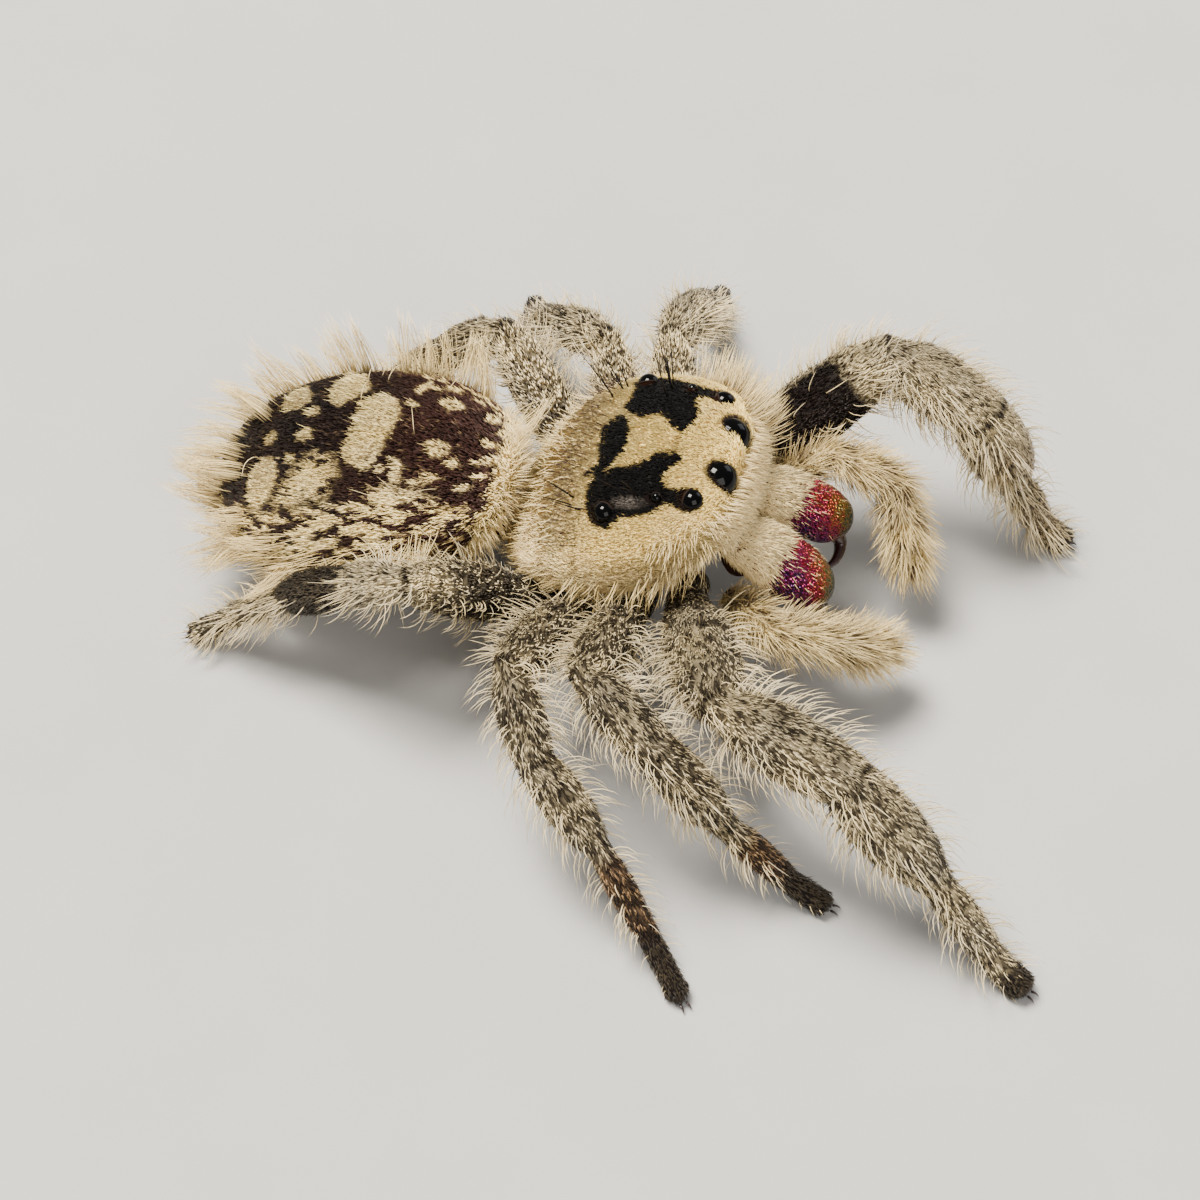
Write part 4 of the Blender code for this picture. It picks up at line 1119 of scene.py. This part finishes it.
def make_skin(finish):
    """One skin over body, legs and palps in place of the solids' flesh, with the eyes' rims."""
    skins = [
        grid_skin(CARAPACE_HIDE, 110, 120, COAT_DEPTH, shaded(head_tint, 0.88)),
        grid_skin(ABDOMEN_HIDE, 140, 140, COAT_DEPTH, shaded(abdomen_tint, 0.5)),
    ]
    # rim is the near-black colour of the rings round the side and rear eyes: their dark border with painted
    # shade round each eye
    maroon, brown, rim = MAROON * 0.6, BROWN * 0.5, blend(BROWN, BLACK, 0.9)
    for place, (at, rows, columns, depth, colour) in enumerate((
        (keel_at(STERNUM), 24, 32, 0.02, maroon),
        (keel_at(MOUTHPARTS), 24, 32, 0.02, brown),
        (limb_at(np.array(PEDICEL)), 16, 24, 0.0, maroon),
    )):
        box = (place / 10, 0.0, (place + 1) / 10, 0.1)
        skins.append(grid_skin(Hide(at, box), rows, columns, depth, plain_tint(colour)))
    nodes = ["carapace", "abdomen", "sternum", "mouthparts", "pedicel"]
    for name in LEGS:
        skins.append(grid_skin(LEG_HIDES[name], 220, 36, COAT_DEPTH * 0.8, shaded(leg_tint(name), 0.35)))
        nodes += [f"leg_{name}_{piece}" for piece in ("femur", "tibia", "foot")]
    for side in PALPS:
        skins.append(grid_skin(PALP_HIDES[side], 60, 24, COAT_DEPTH * 0.6, shaded(palp_tint, 0.5)))
        nodes += [f"palp_{side}_{piece}" for piece in ("base", "tip")]
    for kind in ("front_side", "small", "rear"):
        forward, out, up, radius = EYES[kind]
        for _, sign in SIDES:
            centre = head_point(forward, sign * out, up)
            skins.append(ring_skin(centre, eye_axis(kind, sign), radius, 0.08 * radius, rim))
    skin = skin_object("skin", skins, finish)
    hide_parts(*nodes)


def turned(lie, normal, angle):
    """Lies turned about their normals."""
    across = np.cross(normal, lie)
    return unit(lie * np.cos(angle)[:, None] + across * np.sin(angle)[:, None])


def carapace_coat(finish, share):
    """Velvet scales over the head and thorax, curved fringes low, behind and in front, and bristles."""
    rng = np.random.default_rng(21)
    hide = CARAPACE_HIDE

    def place(u, v):
        return head_place(hide.at(u, v))

    def open_skin(u, v):
        points = hide.at(u, v).reshape(-1, 3)
        return (1.0 - near_eyes(points, 0.0)).reshape(u.shape)

    def top_skin(u, v):
        return open_skin(u, v) * np.clip(1.25 + 1.6 * np.sin(2 * math.pi * v), 0.6, 1.0)

    def fringe_skin(u, v):
        forward, left, up = place(u, v)
        low = fade(-up, 1.0, 1.9) * fade(2.1 - forward, 0.0, 0.4)
        return open_skin(u, v) * np.maximum(low, fade(-forward, 1.0, 2.4)) * fade(up, -2.42, -2.2)

    def brow_skin(u, v):
        forward, left, up = place(u, v)
        band = fade(forward, 0.8, 1.3) * fade(-up, 0.15, 0.5) * fade(up, -1.5, -1.2)
        band = band * fade(2.45 - forward, 0.0, 0.1)
        return open_skin(u, v) * band * np.where(left > 0, 1.0, 0.5)

    def face_skin(u, v):
        forward, left, up = place(u, v)
        return open_skin(u, v) * fade(forward, 2.05, 2.3) * fade(-up, 0.45, 0.7)

    def nape_skin(u, v):
        forward, left, up = place(u, v)
        return fade(-forward, 0.3, 0.7) * fade(forward, -1.7, -1.2) * fade(up, -0.9, -0.5)

    patch = hide.patch(rng, COAT["head_scales"] * share, top_skin)
    forward, left, up = head_place(patch.here)
    rough = np.maximum(fade(-up, 0.9, 1.7), fade(-forward, 0.9, 2.0))
    angle = rng.normal(0.0, 0.30, patch.size) + 0.9 * np.sign(left) * fade(-up, 0.3, 1.4)
    colour = head_tint(patch.here, patch.u, patch.v) * patch.spread(0.90, 1.08)[:, None]
    coat_object("carapace_scales", [patch.scales(
        0.03, turned(-patch.along, patch.normal, angle),
        patch.spread(0.11, 0.17) * (1.0 + 0.6 * rough), patch.spread(0.026, 0.040) * (1.0 + 0.3 * rough),
        patch.spread(0.06, 0.24) * (1.0 + rough), colour)], finish)

    patch = hide.patch(rng, COAT["head_fringe"] * share, fringe_skin)
    forward, left, up = head_place(patch.here)
    rear = fade(-forward, 0.4, 1.8)
    outward = patch.waver(np.sign(left)[:, None] * HEAD_LEFT, 0.25)
    start = patch.waver(patch.normal * 0.7 - patch.along * 0.4 - HEAD_UP * 0.3 * (1.0 - rear)[:, None], 0.18)
    end = patch.waver(outward * 0.55 - patch.along * (0.25 + 0.6 * rear)[:, None]
                      + HEAD_UP * (0.5 * rear - 0.15)[:, None], 0.28)
    length = patch.spread(0.45, 1.0) * (1.0 - 0.4 * rear)
    pale = patch.tones(PALE, CREAM, 0.7)
    batches = [patch.hairs(0.06, start, end, length, patch.spread(0.020, 0.034), pale * 0.6, pale * 0.92)]

    patch = hide.patch(rng, COAT["brow"] * share, brow_skin)
    sign = np.sign(head_place(patch.here)[1])
    start = patch.waver(patch.normal, 0.15)
    outward = sign[:, None] * HEAD_LEFT
    end = patch.waver(patch.normal * 0.7 + outward * 0.5 + HEAD_UP * 0.15 - patch.along * 0.2, 0.2)
    pale = patch.tones(PALE, CREAM, 0.5)
    length = patch.spread(0.65, 1.2) * (0.75 + 0.25 * sign)
    batches.append(patch.hairs(0.06, start, end, length, patch.spread(0.024, 0.038), pale * 0.55, pale * 0.9))

    patch = hide.patch(rng, COAT["face"] * share, face_skin)
    start = patch.waver(HEAD_FORWARD + HEAD_UP * 0.2, 0.18)
    end = patch.waver(HEAD_FORWARD * 0.8 - HEAD_UP * 0.7, 0.2)
    pale = patch.tones(PALE, CREAM, 0.4)
    length = patch.spread(0.25, 0.5)
    batches.append(patch.hairs(0.04, start, end, length, patch.spread(0.020, 0.034), pale * 0.7, pale, 3))

    patch = hide.patch(rng, COAT["head_short"] * share, top_skin)
    start = patch.waver(patch.normal * 0.6 - patch.along * 0.7, 0.2)
    end = patch.waver(patch.normal * 0.15 - patch.along, 0.25)
    colour = head_tint(patch.here, patch.u, patch.v)
    low = fade(-head_place(patch.here)[2], 0.9, 1.7)
    length = patch.spread(0.10, 0.20) * (1.0 + 0.9 * low) * (1.0 - 0.45 * head_black(patch.here))
    light = np.clip(colour * 1.12, 0, 1)
    batches.append(patch.hairs(0.04, start, end, length, patch.spread(0.014, 0.024), colour * 0.75, light, 2))

    patch = hide.patch(rng, COAT["nape"] * share, nape_skin)
    start = patch.waver(patch.normal * 0.7 - patch.along * 0.5, 0.2)
    end = patch.waver(HEAD_UP * 0.3 - patch.along, 0.25)
    dark = blend(BROWN, BLACK, 0.6)
    batches.append(patch.hairs(0.04, start, end, patch.spread(0.3, 0.6), 0.02, dark, dark, 3))

    for place_along, angle, length in BRISTLES:
        share_along = np.interp(place_along, CARAPACE[:, 0], CARAPACE_SHARES)
        for sign, count in ((-1, 3), (1, 5)):
            for _ in range(count):
                u = np.full(1, share_along + rng.normal(0.0, 0.012))
                v = np.full(1, 0.25 - sign * (angle / 360.0 + rng.normal(0.0, 0.008)))
                patch = Patch(hide, rng, u, v)
                start = patch.waver(patch.normal, 0.12)
                lean = HEAD_LEFT * 0.45 * sign + HEAD_FORWARD * 0.4 * (place_along - 0.5)
                end = patch.waver(HEAD_UP + lean, 0.12)
                own = length * rng.uniform(0.7, 1.1)
                batches.append(patch.hairs(0.05, start, end, own, 0.045, BLACK, BLACK, 6))
    coat_object("carapace_hair", batches, finish)


def abdomen_coat(finish, share):
    """Dense scales, tufts of long hair that radiate at sides and tail, and a few curled hairs."""
    rng = np.random.default_rng(22)
    hide = ABDOMEN_HIDE

    def tuft_skin(u, v):
        back, side = abdomen_place(u, v)
        flank = fade(np.abs(side), 2.4, 3.0) * fade(4.9 - np.abs(side), 0.0, 0.8) * fade(back, 1.2, 3.0)
        return np.maximum(flank * 0.55, fade(back, 5.4, 6.2))

    def flank_skin(u, v):
        back, side = abdomen_place(u, v)
        return fade(np.abs(side), 2.8, 3.8) * fade(5.3 - np.abs(side), 0.0, 0.8) * fade(back, 0.3, 1.5)

    def front_skin(u, v):
        return fade(0.9 - abdomen_place(u, v)[0], 0.0, 0.4) * (np.sin(2 * math.pi * v) > -0.3)

    def upper_skin(u, v):
        return (np.sin(2 * math.pi * v) > 0.45) * (u > 0.12) * (u < 0.9)

    patch = hide.patch(rng, COAT["abdomen_scales"] * share)
    low = fade(np.abs(abdomen_place(patch.u, patch.v)[1]), 1.5, 2.4)
    lie = patch.lie(0.22)
    colour = abdomen_tint(patch.here, patch.u, patch.v) * patch.spread(0.78, 1.12)[:, None]
    coat_object("abdomen_scales", [patch.scales(
        0.03, lie, patch.spread(0.14, 0.21) * (1.0 + 0.35 * low),
        patch.spread(0.034, 0.054) * (1.0 + 0.2 * low), patch.spread(0.06, 0.26), colour)], finish)

    u, v = hide.roots(int(COAT["tufts"] * max(share, 0.5)), rng, tuft_skin)
    many = COAT["far_tufts"]
    far = np.linspace(0.6, 6.2, many) + rng.normal(0.0, 0.18, many)
    u = np.concatenate((u, np.arccos(1.0 - far / ABDOMEN_HALF_LENGTH) / math.pi))
    v = np.concatenate((v, 0.25 - (48.0 + 20.0 * rng.random(many)) / 360.0))
    tufts = Patch(hide, rng, u, v)
    tail = fade(abdomen_place(u, v)[0], 4.2, 6.6)
    way = tufts.normal * 0.9 + tufts.along * (0.35 + 0.25 * tail)[:, None]
    way = way + rng.normal(0.0, 0.14, way.shape)
    way[-many:, 2] += 0.5
    way[:, 2] = np.maximum(way[:, 2], -0.35)
    length = tufts.spread(1.1, 1.7) * tufts.lower(1.2, 0.35)
    batches = [tuft_hairs(hide, tufts, int(COAT["hairs_in_tuft"] * min(share * 2, 1)), unit(way), length)]

    patch = hide.patch(rng, COAT["flank"] * share, flank_skin)
    start = patch.waver(patch.normal * 0.6 + patch.along * 0.7, 0.14)
    end = patch.waver(patch.along * 0.9 + patch.normal * 0.25 - UP * 0.35, 0.16)
    length = patch.spread(0.6, 1.2) * patch.lower(1.0, 0.25)
    pale = patch.tones(PALE, CREAM, 0.6)
    batches.append(patch.hairs(0.05, start, end, length, patch.spread(0.022, 0.036), pale * 0.7, pale))

    patch = hide.patch(rng, COAT["abdomen_front"] * share, front_skin)
    start = patch.waver(patch.normal, 0.15)
    end = patch.waver(patch.normal * 0.7 + patch.along * 0.6, 0.2)
    pale = patch.tones(PALE, CREAM, 0.5)
    length = patch.spread(0.25, 0.55)
    batches.append(patch.hairs(0.05, start, end, length, patch.spread(0.024, 0.038), pale * 0.8, pale, 3))

    patch = hide.patch(rng, COAT["abdomen_short"] * share)
    start = patch.waver(patch.normal * 0.5 + patch.along * 0.8, 0.18)
    end = patch.waver(patch.along + patch.normal * 0.15, 0.2)
    colour = abdomen_tint(patch.here, patch.u, patch.v)
    length = patch.spread(0.2, 0.4)
    light = np.clip(colour * 1.15, 0, 1)
    batches.append(patch.hairs(0.05, start, end, length, patch.spread(0.016, 0.026), colour * 0.8, light, 2))

    patch = hide.patch(rng, COAT["curls"], upper_skin)
    twist = turned(patch.along, patch.normal, rng.uniform(-2.2, 2.2, patch.size))
    start = unit(patch.normal + twist * 0.5)
    end = unit(twist - patch.normal * 0.55)
    batches.append(patch.hairs(0.0, start, end, patch.spread(0.6, 1.1), 0.024, PALE * 0.7, PALE, 6))
    coat_object("abdomen_hair", batches, finish)


def leg_coat(side, finish, share):
    """Speckled scales and long pale fringes on the four legs of a side."""
    rng = np.random.default_rng(23 if side == "right" else 24)
    scale_batches, hair_batches = [], []
    for name in (key for key in LEGS if key.endswith(side)):
        hide = LEG_HIDES[name]
        tint = leg_tint(name)
        stout = FEMUR_RADIUS[name[0]] / 0.6
        patch = hide.patch(rng, COAT["leg_scales"] * share * stout)
        lie = patch.lie(0.22)
        colour = tint(patch.here, patch.u, patch.v, rng) * patch.spread(0.78, 1.12)[:, None]
        length = patch.spread(0.13, 0.20) * np.where(patch.u > 0.8, 0.85, 1.0)
        scale_batches.append(patch.scales(
            0.03, lie, length, patch.spread(0.028, 0.045), patch.spread(0.08, 0.30), colour))

        shaggy = SHAGGY.get(name, 0.0)
        many = COAT["fullest_fringe" if name == "1_left" else "leg_fringe"]
        patch = hide.patch(rng, many * share * stout, leg_fringe(name))
        start = patch.waver(patch.normal * 0.95 + patch.along * 0.15, 0.12)
        end = patch.waver(patch.along * 0.9 + patch.normal * 0.2, 0.2)
        length = patch.spread(0.5, 1.15) * (1.0 - 0.4 * (1.0 - shaggy) * fade(patch.u, 0.75, 0.95))
        length = length * (0.8 + 0.2 * stout) * patch.lower(0.8 - 0.4 * shaggy, 0.2 + 0.2 * shaggy)
        deepest = -0.8 * patch.here[:, 2] / length
        for way in (start, end):
            way[:, 2] = np.maximum(way[:, 2], deepest)
        pale = patch.tones(PALE, GREY, 0.8)
        hair_batches.append(patch.hairs(
            0.05, start, end, length, patch.spread(0.022, 0.038), pale * 0.65, pale * 0.95))

        patch = hide.patch(rng, COAT["leg_short"] * share * stout)
        start = patch.waver(patch.normal * 0.6 + patch.along * 0.7, 0.18)
        end = patch.waver(patch.along + patch.normal * 0.25, 0.18)
        colour = tint(patch.here, patch.u, patch.v, rng)
        length = patch.spread(0.2, 0.36) * patch.lower(0.6, 0.3)
        hair_batches.append(patch.hairs(
            0.05, start, end, length, patch.spread(0.014, 0.024), colour * 0.7, colour, 2))

        patch = hide.patch(rng, COAT["toe"] * max(share, 0.5), lambda u, v: fade(u, 0.955, 0.99))
        start = patch.waver(patch.normal * 0.5 + patch.along, 0.15)
        end = patch.waver(patch.along + patch.normal * 0.1 - UP * 0.5, 0.15)
        length = patch.spread(0.10, 0.20)
        hair_batches.append(patch.hairs(0.03, start, end, length, patch.spread(0.03, 0.05), BLACK, BLACK, 2))
    coat_object(f"legs_{side}_scales", scale_batches, finish)
    coat_object(f"legs_{side}_hair", hair_batches, finish)


def claws(finish):
    """Two small hooked claws at each toe."""
    batches = []
    for name in LEGS:
        before, toe = leg_joints(name)[-2:]
        ahead = unit((toe - before) * (1.0, 1.0, 0.0))
        across = np.cross(UP, ahead)
        for sign in (-1, 1):
            here = toe * (1.0, 1.0, 0.0) + UP * 0.16 + ahead * 0.10 + across * sign * 0.07
            start = ahead * 1.1 + across * sign * 0.2 + UP * 0.3
            end = ahead * 0.5 - UP
            spot = np.full((1, 2), 0.5)
            batches.append(hairs(
                here[None], UP[None], start[None], end[None], 0.24, 0.07, BLACK, BLACK, spot, 6))
    coat_object("claws", batches, finish)


def palp_coat(finish, share):
    """Shaggy pale hair on both palps."""
    rng = np.random.default_rng(25)
    batches = []
    for side in PALPS:
        hide = PALP_HIDES[side]
        patch = hide.patch(rng, COAT["palp_scales"] * share)
        lie = patch.lie(0.3)
        colour = palp_tint(patch.here, patch.u, patch.v) * patch.spread(0.8, 1.1)[:, None]
        batches.append(patch.scales(
            0.03, lie, patch.spread(0.14, 0.22), patch.spread(0.036, 0.056), patch.spread(0.15, 0.4), colour))
        patch = hide.patch(rng, COAT["palp_hairs"] * share)
        start = patch.waver(patch.normal * 0.9 + patch.along * 0.5, 0.14)
        end = patch.waver(patch.along * 0.8 + patch.normal * 0.45, 0.22)
        length = patch.spread(0.4, 0.85) * patch.lower(0.7, 0.25)
        pale = blend(patch.tones(PALE, CREAM, 0.6), palp_tint(patch.here, patch.u, patch.v), 0.5)
        batches.append(patch.hairs(0.04, start, end, length, patch.spread(0.018, 0.030), pale * 0.55, pale))
    coat_object("palp_coat", batches, finish)


def jaw_phase(hide):
    """The phase of the jaw's painted sheen from the way the surface faces, and its painted shade where it
    faces down, darker too toward its end by the fang.
    """
    def tint(points, u, v):
        normal = hide.frame(np.clip(u, 0.01, 0.99), v)[1]
        ahead = np.maximum(normal[..., 0], 0.0)
        # Painted shade where the surface faces down, and darker toward the jaw's end
        low = np.maximum(fade(-normal @ HEAD_UP, 0.35, 0.9), fade(u, 0.80, 0.97) * 0.8)
        return np.stack((0.26 + 0.74 * ahead**1.2, low, low), axis=-1).clip(0.0, 1.0)
    return tint


def jaws(jaw, horn, coat, share):
    """Jaw bases with white hair over their upper halves, and fangs."""
    rng = np.random.default_rng(26)
    batches = []
    for side, sign in SIDES:
        hide = Hide(jaw_at(sign))
        base = skin_object(f"jaw_{side}", [grid_skin(hide, 90, 80, 0.0, jaw_phase(hide))], jaw)
        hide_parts(f"chelicera_{side}")
        knots = np.array([(*head_point(a, sign * o, h), r) for a, o, h, r in FANG])
        skin = grid_skin(Hide(limb_at(knots)), 30, 20, 0.0, plain_tint(BLACK))
        fang = skin_object(f"fang_{side}_polished", [skin], horn)
        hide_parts(f"fang_{side}")

        patch = hide.patch(rng, COAT["jaw_hairs"] * share, lambda u, v: fade(-u, -0.50, -0.34))
        start = patch.waver(patch.along * 0.9 + patch.normal * 0.30, 0.14)
        end = patch.waver(patch.along + patch.normal * 0.04, 0.16)
        white = patch.tones(PALE, CREAM, 0.35)
        length = patch.spread(0.22, 0.42)
        batches.append(patch.hairs(
            0.02, start, end, length, patch.spread(0.024, 0.038), white * 0.75, white, 3))

        patch = hide.patch(rng, COAT["jaw_scales"] * share, lambda u, v: fade(-u, -0.47, -0.42))
        white = patch.tones(PALE, CREAM, 0.3) * 0.9
        batches.append(patch.scales(
            0.01, patch.lie(0.3), patch.spread(0.14, 0.22), patch.spread(0.04, 0.06),
            patch.spread(0.08, 0.25), white))

        patch = hide.patch(
            rng, COAT["jaw_stray"] * share, lambda u, v: fade(u, 0.3, 0.5) * fade(0.8 - u, 0.0, 0.1))
        start = patch.waver(patch.along * 0.8 + patch.normal * 0.5, 0.14)
        end = patch.waver(patch.along + patch.normal * 0.1, 0.16)
        length = patch.spread(0.15, 0.3)
        batches.append(patch.hairs(0.02, start, end, length, 0.02, CREAM * 0.6, PALE * 0.8, 3))
    coat_object("jaw_hair", batches, coat)


def spinnerets(finish):
    """Three pairs of short blunt tubes at the tail."""
    start = ABDOMEN_TAIL + np.array((0.10, 0.0, -0.10))
    skins = []
    for lower, size in ((-0.10, 0.13), (0.02, 0.08), (0.12, 0.11)):
        for _, sign in SIDES:
            root = start + np.array((0.0, sign * 0.10, lower))
            end = root + np.array((-0.66, sign * 0.05, lower * 0.6 - 0.12))
            knots = knots_between(root, end, ((0.0, 1.0), (0.5, 0.95), (0.9, 0.7), (1.0, 0.3)), size)
            skins.append(grid_skin(Hide(limb_at(np.array(knots))), 14, 16, 0.0, plain_tint(BROWN)))
    piece = skin_object("spinneret_tubes", skins, finish)
    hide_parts("spinnerets")


def light(name, place, size, power, colour):
    """A soft square lamp that faces the spider."""
    lamp = bpy.data.lights.new(name, "AREA")
    lamp.size = size
    lamp.energy = power
    lamp.color = colour
    thing = bpy.data.objects.new(name, lamp)
    thing.location = place
    thing.rotation_euler = Vector(place).to_track_quat("Z", "Y").to_euler()
    bpy.context.scene.collection.objects.link(thing)


def camera():
    """The camera at the photograph's angle."""
    azimuth, elevation, distance = math.radians(10.0), math.radians(54.0), 0.058
    flat = math.cos(elevation)
    back = Vector((math.sin(azimuth) * flat, -math.cos(azimuth) * flat, math.sin(elevation)))
    lens = bpy.data.cameras.new("camera")
    lens.lens = 75.0
    lens.sensor_width = 36.0
    lens.clip_start = 0.002
    thing = bpy.data.objects.new("camera", lens)
    thing.location = Vector(-CENTRE * MM) + back * distance
    thing.rotation_euler = back.to_track_quat("Z", "Y").to_euler()
    bpy.context.scene.collection.objects.link(thing)
    bpy.context.scene.camera = thing


def studio():
    """Plain floor, soft light and camera."""
    floor_object()
    for name, place, size, power, colour in LAMPS:
        light(name, place, size, power, colour)
    world = bpy.data.worlds.new("studio")
    world.use_nodes = True
    sky = world.node_tree.nodes["Background"].inputs
    sky["Color"].default_value = (0.94, 0.95, 1.0, 1.0)
    sky["Strength"].default_value = 0.28
    bpy.context.scene.world = world
    camera()


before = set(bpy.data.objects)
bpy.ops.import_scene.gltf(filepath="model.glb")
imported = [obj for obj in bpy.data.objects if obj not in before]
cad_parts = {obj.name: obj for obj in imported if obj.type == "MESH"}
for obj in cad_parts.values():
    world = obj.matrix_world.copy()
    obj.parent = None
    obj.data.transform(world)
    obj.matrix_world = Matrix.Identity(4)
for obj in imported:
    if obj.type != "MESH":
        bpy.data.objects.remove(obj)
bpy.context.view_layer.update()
coat_share = FULL_COAT

CARAPACE_HIDE = Hide(carapace_at)
ABDOMEN_HIDE = Hide(abdomen_at)
LEG_HIDES = {}
for row, leg in enumerate(LEGS):
    strip = (row % 4) / 4
    LEG_HIDES[leg] = Hide(limb_at(leg_knots(leg), LEG_TALLER), (0.0, strip, 0.99, strip + 0.24))
PALP_HIDES = {}
for row, palp in enumerate(PALPS):
    PALP_HIDES[palp] = Hide(limb_at(palp_knots(palp), LEG_TALLER), (0.0, row / 2, 0.99, row / 2 + 0.48))

skin_finish = tinted_finish("velvet_skin", 0.8, 0.15, 0.6)
coat_finish = tinted_finish("coat", 0.45, 0.3, 0.0)
horn_finish = plain_finish("fang_horn", (0.018, 0.006, 0.005), 0.22, 2500.0, 0.2)
tube_finish = plain_finish("spinneret_skin", (0.10, 0.055, 0.035), 0.6, 6000.0, 0.5)

make_skin(skin_finish)
carapace_coat(coat_finish, coat_share)
abdomen_coat(coat_finish, coat_share)
leg_coat("right", coat_finish, coat_share)
leg_coat("left", coat_finish, coat_share)
palp_coat(coat_finish, coat_share)
jaws(jaw_finish(), horn_finish, coat_finish, coat_share)
claws(horn_finish)
spinnerets(tube_finish)
for eye_kind in EYES:
    for eye_side, eye_sign in SIDES:
        eye_object(eye_kind, eye_side, eye_sign)
studio()
